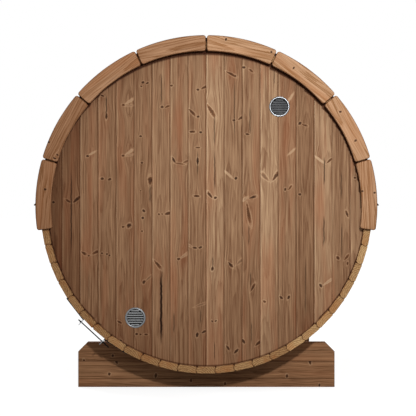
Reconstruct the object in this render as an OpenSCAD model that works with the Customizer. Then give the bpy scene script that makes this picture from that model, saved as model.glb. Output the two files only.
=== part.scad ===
// Barrel sauna of wooden staves, seen from its vented back end.
// +Z is up, the barrel's axis lies along Y, the back end faces -Y and the door end faces +Y.
// The ground is at z = 0, under the middle of the barrel.

/* [Barrel] */
// Width across the barrel, from a stave's outer flat to the opposite one
barrel_d = 1990; // [1700:10:2300]
// Length of the staves
barrel_len = 2400; // [1800:10:3000]
// Number of staves, in six groups with one stave in the middle of each
stave_count = 54; // [42:12:66]
// Thickness of the staves
stave_t = 40; // [32:1:60]
// Chamfer along the long edges of a stave
stave_chamfer = 5; // [2:0.5:7]
// Height of the bead along one edge of a stave, and depth of the cove along the other
bead_h = 6; // [3:0.5:9]
// Flat left between the bead and the chamfer on each side
bead_land = 3; // [1.5:0.5:5]
// Gap left in each joint between staves
stave_gap = 0.3; // [0.2:0.1:0.8]
// Height of the lowest flat of the barrel above the ground
barrel_clear = 114; // [80:1:180]

/* [End walls] */
// Distance from the stave ends to the outer face of each end wall
wall_recess = 30; // [10:1:80]
// Thickness of the end walls
wall_t = 40; // [28:1:60]
// Cover width of one upright wall board
wall_board = 108.5; // [80:0.5:140]
// Depth of the V-joint between two wall boards
wall_groove = 3; // [1:0.5:6]
// Depth of the groove in the staves that holds an end wall
croze_depth = 10; // [5:1:18]
// Clearance of an end wall in its groove
wall_clear = 0.3; // [0.2:0.1:0.8]

/* [Trim] */
// How far the arched trim boards stand out past the staves' flats
trim_overhang = 28; // [10:1:60]
// Width of a trim board
trim_w = 93; // [70:1:120]
// Thickness of a trim board
trim_t = 28; // [15:1:45]
// Number of trim boards over each end
trim_count = 8; // [6:2:12]
// How far the lowest trim boards reach below the barrel's axis, in degrees
trim_drop = 8.4; // [0:0.1:20]
// Gap between two trim boards
trim_gap = 6; // [2:0.5:12]
// Radius of the trim boards' corners
trim_corner = 15; // [4:1:30]
// How far the trim is set above the barrel's axis
trim_rise = 9; // [0:1:15]

/* [Roof] */
// How far the roof lies inside the trim's outer edge
roof_inset = 12.5; // [6:0.5:16]
// Number of felt strips on each side of the ridge
roof_strips = 10; // [5:1:16]
// Step where a strip laps the one below it
felt_step = 4; // [2:0.5:6]
// Half the width of the strip along the ridge
ridge_half = 120; // [60:5:200]
// Height of the eaves above the barrel's middle
eave_rise = 12; // [0:1:40]
// How far the eaves' lip stands out from the roof
eave_out = 24; // [10:1:40]
// Thickness of the eaves' lip
eave_lip = 6; // [4:0.5:12]

/* [Cradles] */
// Width of a cradle
cradle_w = 1585; // [1400:5:1800]
// Height of a cradle at its shoulders
cradle_h = 275; // [230:5:340]
// Thickness of a cradle along the barrel
cradle_t = 70; // [45:1:120]
// Size of the cut-off upper corners
cradle_corner = 55; // [20:1:90]
// Distance from the stave ends to a cradle
cradle_inset = 220; // [150:5:500]

/* [Hoops] */
// Width of the steel hoops
hoop_w = 30; // [20:1:50]
// Thickness of the steel hoops
hoop_t = 1.5; // [1:0.5:4]
// Distance from the stave ends to the middle of a hoop
hoop_inset = 50; // [30:5:100]
// Angle of the tension rod round the barrel, counted from +X towards +Z
rod_angle = 227.3; // [200:0.1:250]
// Diameter of the tension rod
rod_d = 8; // [6:1:12]
// Length of the tension rod
rod_len = 259; // [230:1:320]
// How far the rod's middle is shifted towards its lower end
rod_shift = 15; // [0:1:25]
// Height of the rod above the staves' flats
rod_rise = 26; // [22:1:40]
// Distance between the two lugs
lug_gap = 168; // [120:1:200]
// Height of the lugs above the rod's axis
lug_tip = 24; // [14:1:40]
// Thickness of the lugs
lug_t = 4; // [3:0.5:6]
// Length of a lug's foot on the hoop
lug_foot = 165; // [60:1:200]
// Clearance between pieces that rest on each other
seat_gap = 0.3; // [0.2:0.1:0.6]

/* [Vents] */
// Diameter of a vent's flange
vent_d = 124; // [110:1:160]
// Diameter of a vent's opening
vent_bore = 100; // [80:1:105]
// Thickness of a vent's flange
vent_flange = 4; // [3:0.5:8]
// Length of a vent's sleeve in the wall
vent_sleeve = 32; // [15:1:38]
// Wall of a vent's sleeve
vent_wall = 2; // [1.5:0.5:4]
// Distance between two louvres
louvre_pitch = 14; // [10:0.5:20]
// Width of a louvre
louvre_w = 15; // [8:0.5:18]
// Thickness of a louvre
louvre_t = 1.6; // [1:0.2:3]
// Slope of a louvre
louvre_angle = 42; // [20:1:50]
// Number of board joints from the middle of the wall to a vent
vent_joint = 4; // [3:1:5]
// How far the vents lie to the right of their board joint
vent_shift = 6; // [0:1:20]
// Distance from the upper vent's middle to the inside of the barrel
upper_vent_margin = 208; // [150:1:260]
// Distance from the lower vent's middle to the inside of the barrel
lower_vent_margin = 162; // [120:1:260]

/* [Door] */
// Number of board joints from the middle of the wall to the side of the doorway
door_joint = 3; // [2:1:4]
// Least width of wall between a corner of the doorway and the inside of the barrel
door_margin = 70; // [50:1:150]
// Width of the door frame's bars
frame_w = 38; // [25:1:60]
// How far the door frame stands out of the wall
frame_proud = 6; // [2:1:12]
// Thickness of the door
door_t = 36; // [28:1:50]
// Gap round the door
door_gap = 3; // [2:0.5:5]
// Height of a hinge
hinge_h = 90; // [60:1:140]
// Width of a hinge's two plates together
hinge_w = 66; // [50:1:80]
// Thickness of a hinge plate
hinge_t = 2.5; // [2:0.5:4]
// Diameter of a hinge's knuckle
hinge_knuckle = 12; // [9:1:16]
// Distance from the door's ends to the middle of a hinge
hinge_inset = 190; // [120:5:300]
// Length of the door pull
pull_len = 320; // [200:5:500]
// Side of the door pull's square bar
pull_bar = 22; // [16:1:24]
// How far the door pull stands off the door
pull_reach = 51; // [45:1:51]
// Chamfer of the door pull's edges
pull_chamfer = 4; // [1:0.5:8]
// Distance from the door's free edge to the door pull
pull_inset = 60; // [40:1:100]

/* [Hidden] */
$fn = 96;
WALL_WOOD = "#8a6547";
TRIM_WOOD = "#b98d66";
STAVE_WOOD = "#b09468";
CRADLE_WOOD = "#7d5a40";
DOOR_WOOD = "#946d4c";
FELT = "#2d2c2b";
STEEL = "#b9bbbd";
ALUMINIUM = "#c9cbce";

stave_ro = barrel_d / 2;
stave_ri = stave_ro - stave_t;
stave_rm = (stave_ro + stave_ri) / 2;
stave_pitch = 360 / stave_count;
stave_half = stave_pitch / 2;
group_count = 6;
group_size = stave_count / group_count;
axis_z = stave_ro + barrel_clear;
end_y = barrel_len / 2;

bead_chord = stave_t - 2 * stave_chamfer - 2 * bead_land;
bead_r = (bead_chord * bead_chord / 4 + bead_h * bead_h) / (2 * bead_h);
stave_corner_r = norm([stave_edge(stave_ro) - stave_chamfer, stave_ro]);

wall_y = end_y - wall_recess - wall_t / 2;
croze_r = stave_ri + croze_depth;
wall_r = croze_r - wall_clear;
joint_count = floor((wall_r - wall_board / 4) / wall_board);

trim_ro = stave_ro + trim_overhang;
trim_ri = trim_ro - trim_w;
trim_span = (180 + 2 * trim_drop) / trim_count;
trim_half_gap = asin(trim_gap / 2 / (trim_ri + trim_w / 2));

roof_ro = trim_ro - roof_inset;
roof_len = barrel_len - 2 * seat_gap;
eave_x = roof_ro + eave_out;
eave_angle = asin((eave_rise + eave_lip + eave_out - trim_rise) / roof_ro);
ridge_angle = asin(ridge_half / roof_ro);
strip_span = (90 - ridge_angle - eave_angle) / roof_strips;
strip_gap = asin(seat_gap / roof_ro);

hoop_y = end_y - hoop_inset;
hoop_ri = stave_ro + seat_gap;
hoop_ro = hoop_ri + hoop_t;
hoop_vertex = hoop_ro / cos(stave_half);
hoop_open = asin(lug_gap / 2 / hoop_ro);
rod_y = stave_ro + rod_rise;
rod_hole = rod_d + 1;
nut_d = 1.85 * rod_d;
nut_h = 0.8 * rod_d;

sleeve_r = vent_bore / 2 + vent_wall;
vent_hole_r = sleeve_r + seat_gap;
vent_x = vent_joint * wall_board;
back_face_y = -end_y + wall_recess;

doorway_x = door_joint * wall_board;
doorway_z = sqrt(pow(stave_ri - door_margin, 2) - doorway_x * doorway_x);
door_x = doorway_x - frame_w - door_gap;
door_z = doorway_z - frame_w - door_gap;
front_face_y = end_y - wall_recess;
frame_y = front_face_y + frame_proud;
frame_depth = wall_t + frame_proud;
pull_x = -door_x + pull_inset + pull_bar / 2;

// Half width of a stave at a distance r from the barrel's axis
function stave_edge(r) = r * tan(stave_half) - stave_gap / 2 / cos(stave_half);

// Points along an arc round a centre, from one angle to another
function arc(centre, r, from, to, steps) =
  [for (i = [0:steps]) centre + r * [cos(from + (to - from) * i / steps), sin(from + (to - from) * i / steps)]];

// Distance in degrees from an angle to the nearest joint between two staves
function joint_offset(a) = abs(((a - 270) % stave_pitch + stave_pitch) % stave_pitch - stave_half);

// A flat outline in the XZ plane, drawn round the barrel's axis and given a length along Y
module along_barrel(y, length)
  translate([0, y, axis_z])
    rotate([90, 0, 0])
      linear_extrude(height = length, center = true)
        children();

// Cross-section of one stave, with its outer flat at the top
module stave_section() {
  out = stave_edge(stave_ro);
  in = stave_edge(stave_ri);
  out_low = stave_edge(stave_ro - stave_chamfer);
  in_high = stave_edge(stave_ri + stave_chamfer);
  bead_at = bead_h - bead_r - stave_gap / 2;
  difference() {
    union() {
      polygon([
        [stave_chamfer - out, stave_ro], [out - stave_chamfer, stave_ro],
        [out_low, stave_ro - stave_chamfer], [in_high, stave_ri + stave_chamfer],
        [in - stave_chamfer, stave_ri], [stave_chamfer - in, stave_ri],
        [-in_high, stave_ri + stave_chamfer], [-out_low, stave_ro - stave_chamfer]]);
      rotate(-stave_half)
        translate([bead_at, stave_rm])
          circle(bead_r);
    }
    rotate(stave_half)
      translate([bead_at, stave_rm])
        circle(bead_r + stave_gap);
  }
}

// Grooves round the inside of the staves that hold the two end walls
module crozes()
  for (side = [-1, 1])
    along_barrel(side * wall_y, wall_t + 2 * wall_clear)
      circle(croze_r);

// One sixth of the barrel, turned to its place
module stave_group(turn)
  color(STAVE_WOOD)
    difference() {
      for (i = [0:group_size - 1])
        along_barrel(0, barrel_len)
          rotate(turn + (i - (group_size - 1) / 2) * stave_pitch)
            stave_section();
      crozes();
    }

// A V-joint between two boards, on a face of a wall or door
module board_joint(x, y, height)
  translate([x, y, axis_z])
    rotate(45)
      cube([wall_groove * sqrt(2), wall_groove * sqrt(2), height], center = true);

// The V-joints of a wall or door, on both faces
module board_joints(y, thickness, height)
  for (k = [-joint_count:joint_count], face = [-1, 1])
    board_joint(k * wall_board, y + face * thickness / 2, height);

// A whole end wall of upright boards
module wall_disc(y)
  difference() {
    along_barrel(y, wall_t)
      circle(wall_r);
    board_joints(y, wall_t, 2 * wall_r + wall_t);
  }

function vent_z(margin) = sqrt(pow(stave_ri - margin, 2) - vent_x * vent_x);

// Places its children on the back wall, with +Z pointing out of the wall
module at_vent(side, margin)
  translate([side * vent_x + vent_shift, back_face_y, axis_z + side * vent_z(margin)])
    rotate([90, 0, 0])
      children();

module back_wall()
  color(WALL_WOOD)
    difference() {
      wall_disc(-wall_y);
      at_vent(1, upper_vent_margin)
        cylinder(r = vent_hole_r, h = 4 * wall_t, center = true);
      at_vent(-1, lower_vent_margin)
        cylinder(r = vent_hole_r, h = 4 * wall_t, center = true);
    }

// The part of the front wall inside a rectangle from corner low to corner high, round the axis
module front_wall(low, high)
  color(WALL_WOOD)
    intersection() {
      wall_disc(wall_y);
      along_barrel(wall_y, 2 * wall_t)
        translate(low)
          square(high - low);
    }

module front_wall_left() front_wall([-2 * wall_r, -2 * wall_r], [-doorway_x, 2 * wall_r]);
module front_wall_right() front_wall([doorway_x, -2 * wall_r], [2 * wall_r, 2 * wall_r]);
module front_wall_over_door() front_wall([-doorway_x, doorway_z], [doorway_x, 2 * wall_r]);
module front_wall_under_door() front_wall([-doorway_x, -2 * wall_r], [doorway_x, -doorway_z]);

// A bar of the door frame
module frame_bar(x, z, width, height)
  color(DOOR_WOOD)
    translate([x - width / 2, frame_y - frame_depth, axis_z + z - height / 2])
      cube([width, frame_depth, height]);

module door_jamb_left() frame_bar(frame_w / 2 - doorway_x, 0, frame_w, 2 * doorway_z);
module door_jamb_right() frame_bar(doorway_x - frame_w / 2, 0, frame_w, 2 * doorway_z);
module door_head() frame_bar(0, doorway_z - frame_w / 2, 2 * (doorway_x - frame_w), frame_w);
module door_sill() frame_bar(0, frame_w / 2 - doorway_z, 2 * (doorway_x - frame_w), frame_w);

// The door of upright boards, flush with the front of its frame
module door_leaf()
  color(DOOR_WOOD)
    difference() {
      translate([-door_x, frame_y - door_t, axis_z - door_z])
        cube([2 * door_x, door_t, 2 * door_z]);
      board_joints(frame_y - door_t / 2, door_t, 2 * doorway_z + door_t);
    }

// Hinges across the gap between the door and its right jamb
module door_hinges()
  color(STEEL)
    for (side = [-1, 1])
      translate([door_x + door_gap / 2, frame_y, axis_z + side * (door_z - hinge_inset)]) {
        translate([-hinge_w / 2, 0, -hinge_h / 2])
          cube([hinge_w, hinge_t, hinge_h]);
        translate([0, (hinge_t + hinge_knuckle) / 2, 0])
          cylinder(d = hinge_knuckle, h = hinge_h, center = true);
      }

// Section of the door pull's bar, with its edges cut off
module pull_section() {
  half = pull_bar / 2;
  flat = half - pull_chamfer;
  polygon([
    [half, flat], [flat, half], [-flat, half], [-half, flat],
    [-half, -flat], [-flat, -half], [flat, -half], [half, -flat]]);
}

module door_pull()
  color(TRIM_WOOD) {
    translate([pull_x, frame_y + pull_reach - pull_bar / 2, axis_z])
      linear_extrude(height = pull_len, center = true)
        pull_section();
    for (side = [-1, 1])
      translate([pull_x, frame_y, axis_z + side * (pull_len / 2 - pull_bar)])
        rotate([-90, 0, 0])
          linear_extrude(height = pull_reach - pull_bar / 2)
            pull_section();
  }

// Outline of one arched trim board between two angles, with rounded corners
module trim_section(from, to) {
  in_r = trim_ri + trim_corner;
  out_r = trim_ro - trim_corner;
  in_turn = asin(trim_corner / in_r);
  out_turn = asin(trim_corner / out_r);
  function corner(r, a) = r * [cos(a), sin(a)];
  polygon(concat(
    arc([0, 0], trim_ro, from + out_turn, to - out_turn, 16),
    arc(corner(out_r, to - out_turn), trim_corner, to - out_turn, to + 90, 6),
    arc(corner(in_r, to - in_turn), trim_corner, to + 90, to - in_turn + 180, 6),
    arc([0, 0], trim_ri, to - in_turn, from + in_turn, 16),
    arc(corner(in_r, from + in_turn), trim_corner, from + in_turn + 180, from + 270, 6),
    arc(corner(out_r, from + out_turn), trim_corner, from + 270, from + out_turn + 360, 6)));
}

// One trim board on the stave ends: side -1 is the back and 1 the front, and index counts from the right
module trim_board(side, index)
  color(TRIM_WOOD)
    along_barrel(side * (end_y + trim_t / 2), trim_t)
      translate([0, trim_rise])
        trim_section(
          -trim_drop + (index - 1) * trim_span + trim_half_gap,
          -trim_drop + index * trim_span - trim_half_gap);

// A timber cradle with a round seat under the barrel
module cradle(side)
  color(CRADLE_WOOD)
    along_barrel(side * (end_y - cradle_inset - cradle_t / 2), cradle_t)
      difference() {
        translate([0, -axis_z])
          polygon([
            [-cradle_w / 2, 0], [cradle_w / 2, 0],
            [cradle_w / 2, cradle_h - cradle_corner], [cradle_w / 2 - cradle_corner, cradle_h],
            [cradle_corner - cradle_w / 2, cradle_h], [-cradle_w / 2, cradle_h - cradle_corner]]);
        circle(stave_corner_r + seat_gap);
      }

module back_cradle() cradle(-1);
module front_cradle() cradle(1);

// A steel hoop that lies flat on each stave, open between the two lugs
module hoop(side) {
  start = rod_angle + hoop_open;
  end = rod_angle + 360 - hoop_open;
  joints = [for (k = [0:2 * stave_count])
    let (a = -90 + stave_half + k * stave_pitch)
    if (a > start && a < end) a];
  angles = concat([start], joints, [end]);
  function rim(apothem, a) =
    apothem / cos(stave_half - joint_offset(a)) * [cos(a), sin(a)];
  color(STEEL)
    along_barrel(side * hoop_y, hoop_w)
      polygon(concat(
        [for (a = angles) rim(hoop_ro, a)],
        [for (i = [len(angles) - 1:-1:0]) rim(hoop_ri, angles[i])]));
}

module back_hoop() hoop(-1);
module front_hoop() hoop(1);

// Places its children at a hoop, with +Y along the radius at the rod and +X along the rod
module at_rod(side)
  translate([0, side * hoop_y, axis_z])
    rotate([90, 0, 0])
      rotate(rod_angle - 90)
        children();

// One lug: a foot that lies on the hoop and an upright that the rod passes through
module lug_section(side) {
  turn = asin((lug_gap + lug_foot) / 2 / hoop_vertex);
  foot_y = hoop_vertex * cos(joint_offset(rod_angle - side * turn)) + seat_gap;
  upright_y = foot_y * cos(turn) + lug_foot / 2 * sin(turn);
  rotate(-side * turn)
    translate([-lug_foot / 2, foot_y])
      square([lug_foot, lug_t]);
  translate([side * (lug_gap + lug_t) / 2 - lug_t / 2, upright_y])
    square([lug_t, rod_y + lug_tip - upright_y]);
}

module hoop_lugs(side)
  color(STEEL)
    at_rod(side)
      for (end = [-1, 1])
        difference() {
          linear_extrude(height = hoop_w, center = true)
            lug_section(end);
          translate([end * (lug_gap + lug_t) / 2, rod_y, 0])
            rotate([0, 90, 0])
              cylinder(d = rod_hole, h = 4 * lug_t, center = true);
        }

module back_hoop_lugs() hoop_lugs(-1);
module front_hoop_lugs() hoop_lugs(1);

// The rod that draws the hoop tight, with a nut outside each lug
module tension_rod(side)
  color(STEEL)
    at_rod(side)
      translate([0, rod_y, 0])
        rotate([0, 90, 0]) {
          translate([0, 0, -rod_shift])
            cylinder(d = rod_d, h = rod_len, center = true);
          for (end = [-1, 1])
            translate([0, 0, end * (lug_gap / 2 + lug_t + seat_gap + nut_h / 2)])
              cylinder(d = nut_d, h = nut_h, center = true, $fn = 6);
        }

module back_tension_rod() tension_rod(-1);
module front_tension_rod() tension_rod(1);

// Outline of the barrel, flat on each stave; apothem is the distance from its axis to the flats
module barrel_outline(apothem)
  polygon([for (i = [1:stave_count])
    apothem / cos(stave_half) * [cos(270 + (i - 0.5) * stave_pitch), sin(270 + (i - 0.5) * stave_pitch)]]);

// A point of the roof, at a distance and an angle from the middle of the trim
function roof_point(r, a) = [r * cos(a), trim_rise + r * sin(a)];

// Outline of a felt strip on the right, counted up from the eaves; the lowest ends in a lip
module strip_section(index) {
  steps = 4;
  from = eave_angle + (index - 1) * strip_span;
  to = from + strip_span - strip_gap;
  lip = [[eave_x, eave_rise], [eave_x, eave_rise + eave_lip]];
  under_lip = [stave_ri, eave_rise + eave_x - stave_ri];
  polygon(concat(
    index == 1 ? lip : [],
    [for (i = [0:steps]) roof_point(roof_ro - felt_step * i / steps, from + (to - from) * i / steps)],
    [roof_point(stave_ri, to), index == 1 ? under_lip : roof_point(stave_ri, from)]));
}

// Outline of the felt strip along the ridge
module ridge_section()
  polygon(concat(
    arc([0, trim_rise], roof_ro, 90 - ridge_angle, 90 + ridge_angle, 8),
    [roof_point(stave_ri, 90 + ridge_angle), roof_point(stave_ri, 90 - ridge_angle)]));

// The felt roof over the upper half, laid on the hoops
module roof_felt()
  color(FELT)
    along_barrel(0, roof_len)
      difference() {
        union() {
          ridge_section();
          for (side = [0, 1])
            mirror([side, 0])
              for (index = [1:roof_strips])
                strip_section(index);
        }
        barrel_outline(hoop_ro + seat_gap);
      }

// A round louvred vent with its sleeve in the wall; tilt is the slope of its louvres
module vent(tilt) {
  r = vent_bore / 2;
  edge = vent_flange / 2;
  rows = floor((vent_bore - louvre_w) / 2 / louvre_pitch);
  rotate_extrude()
    polygon([
      [r, -vent_sleeve], [sleeve_r, -vent_sleeve], [sleeve_r, 0], [vent_d / 2, 0],
      [vent_d / 2, vent_flange - edge], [vent_d / 2 - edge, vent_flange],
      [r + edge, vent_flange], [r, vent_flange - edge]]);
  intersection() {
    for (row = [-rows:rows])
      translate([0, row * louvre_pitch, -louvre_w / 2])
        rotate([tilt, 0, 0])
          cube([vent_d, louvre_t, louvre_w], center = true);
    cylinder(r = r + vent_wall / 2, h = 4 * vent_sleeve, center = true);
  }
}

module upper_vent()
  color(ALUMINIUM)
    at_vent(1, upper_vent_margin)
      vent(louvre_angle);

module lower_vent()
  color(ALUMINIUM)
    at_vent(-1, lower_vent_margin)
      vent(-louvre_angle);

module staves_bottom() stave_group(180);
module staves_lower_right() stave_group(240);
module staves_upper_right() stave_group(300);
module staves_top() stave_group(0);
module staves_upper_left() stave_group(60);
module staves_lower_left() stave_group(120);

staves_bottom();
staves_lower_right();
staves_upper_right();
staves_top();
staves_upper_left();
staves_lower_left();
back_wall();
front_wall_left();
front_wall_right();
front_wall_over_door();
front_wall_under_door();
door_jamb_left();
door_jamb_right();
door_head();
door_sill();
door_leaf();
door_hinges();
door_pull();
back_cradle();
front_cradle();
back_hoop();
front_hoop();
back_hoop_lugs();
front_hoop_lugs();
back_tension_rod();
front_tension_rod();
roof_felt();
upper_vent();
lower_vent();
for (i = [1:trim_count])
  trim_board(-1, i);
for (i = [1:trim_count])
  trim_board(1, i);
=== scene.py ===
import math
import random

import bmesh
import bpy
from mathutils import Matrix, Vector


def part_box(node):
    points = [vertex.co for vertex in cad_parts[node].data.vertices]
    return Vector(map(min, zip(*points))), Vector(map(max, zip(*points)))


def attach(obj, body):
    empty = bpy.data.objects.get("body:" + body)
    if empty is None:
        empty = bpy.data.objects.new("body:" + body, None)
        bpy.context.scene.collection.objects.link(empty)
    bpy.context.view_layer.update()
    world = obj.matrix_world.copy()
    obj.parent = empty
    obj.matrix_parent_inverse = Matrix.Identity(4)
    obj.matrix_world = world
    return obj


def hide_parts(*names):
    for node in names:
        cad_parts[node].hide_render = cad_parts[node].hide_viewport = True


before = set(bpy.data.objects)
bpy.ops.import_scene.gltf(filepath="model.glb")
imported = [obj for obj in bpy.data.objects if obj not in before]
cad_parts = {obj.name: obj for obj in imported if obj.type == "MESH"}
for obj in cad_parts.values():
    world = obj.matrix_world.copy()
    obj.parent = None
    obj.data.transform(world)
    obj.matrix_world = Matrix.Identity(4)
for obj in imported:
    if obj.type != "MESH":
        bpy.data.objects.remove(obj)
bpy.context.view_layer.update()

# Cradles: two timber saddles that carry the barrel near its ends. Each is glued up from three
# planed softwood beams laid on each other, and sawn out to the curve of the barrel.
CRADLE_GLUE_LINES = (0.052, 0.160)
CRADLE_CORNER = 0.055
CRADLE_EASED_EDGE = 0.002
CRADLE_CELL = 0.020
CRADLE_THINNEST = 0.0005
BEAM_KNOTS = 4
BEAM_TONES = (0.9, 1.1)
GLUE_LINE_TONE = 0.3
SEAT_GAP = 0.0003
DARKENING = (0.82, 1.06, 1.22)  # how fast red, green and blue fall as wood gets darker
NOWHERE = (9, 9, 0)  # a place far from any knot or split
GRAIN_BEND = 1.3  # how far the grain parts round a knot, as a share of the knot's size
GRAIN_BEND_STEEP = 1.6
GRAIN_BEND_WIDE = 2.5
GRAIN_BEND_LONG = 4.5
SMALLEST_BEND = 0.004
SPLIT_MARGIN = 0.020
SHARP_ANGLE = math.radians(38)
EYE = Vector((0.0099, -8.5, 1.1066))
VIEW_SPREAD = 2.496 / 7.3  # the photo's width where the staves end, over their distance from the eye
PHOTO_PIXELS = 416
CRADLE_KNOTS = (  # photo x and y, half length and half width in pixels, slant, taper, darkness
    (84, 361, 2.0, 1.2, 10, 0, 0.8), (112.8, 355.6, 1.4, 1.1, 0, 0, 0.9),
    (116.4, 361.7, 2.4, 1.2, 20, 0.3, 0.8), (109.3, 374, 1.5, 1.2, 0, 0, 0.8),
    (155.7, 375.6, 2.2, 1.3, -15, 0, 0.8), (191, 380.4, 1.6, 1.2, 0, 0, 0.7),
    (310, 361.7, 2.4, 1.4, 10, 0, 0.9), (287, 376, 1.8, 1.2, 0, 0, 0.8),
    (319.4, 385, 1.4, 1.0, 0, 0, 0.8), (225, 383.7, 1.6, 1.1, 0, 0, 0.7),
)

cradle_low, cradle_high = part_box("back_cradle")
wall_low, wall_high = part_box("back_wall")
axis_z = (wall_low.z + wall_high.z) / 2
seat_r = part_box("staves_lower_right")[1].x + SEAT_GAP


def linear(hex_colour):
    """An sRGB hex colour as linear RGBA."""
    channels = [int(hex_colour[i:i + 2], 16) / 255 for i in (1, 3, 5)]
    return [c / 12.92 if c <= 0.04045 else ((c + 0.055) / 1.055) ** 2.4 for c in channels] + [1.0]


def feed(tree, node, inputs):
    """Sets a shader node's inputs, each from a value, a socket, or another node's output in use."""
    for key, value in inputs.items():
        if isinstance(value, bpy.types.Node):
            value = next(output for output in value.outputs if output.enabled)
        if isinstance(value, bpy.types.NodeSocket):
            tree.links.new(value, node.inputs[key])
        else:
            node.inputs[key].default_value = value


def add_node(tree, kind, inputs=None, **settings):
    """Adds a shader node of a kind, with its settings and inputs."""
    made = tree.nodes.new("ShaderNode" + kind)
    for name, value in settings.items():
        setattr(made, name, value)
    feed(tree, made, inputs or {})
    return made


def new_finish(name):
    """A new finish, with its node tree and its shader."""
    finish = bpy.data.materials.new(name)
    finish.use_nodes = True
    return finish, finish.node_tree, finish.node_tree.nodes["Principled BSDF"]


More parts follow.
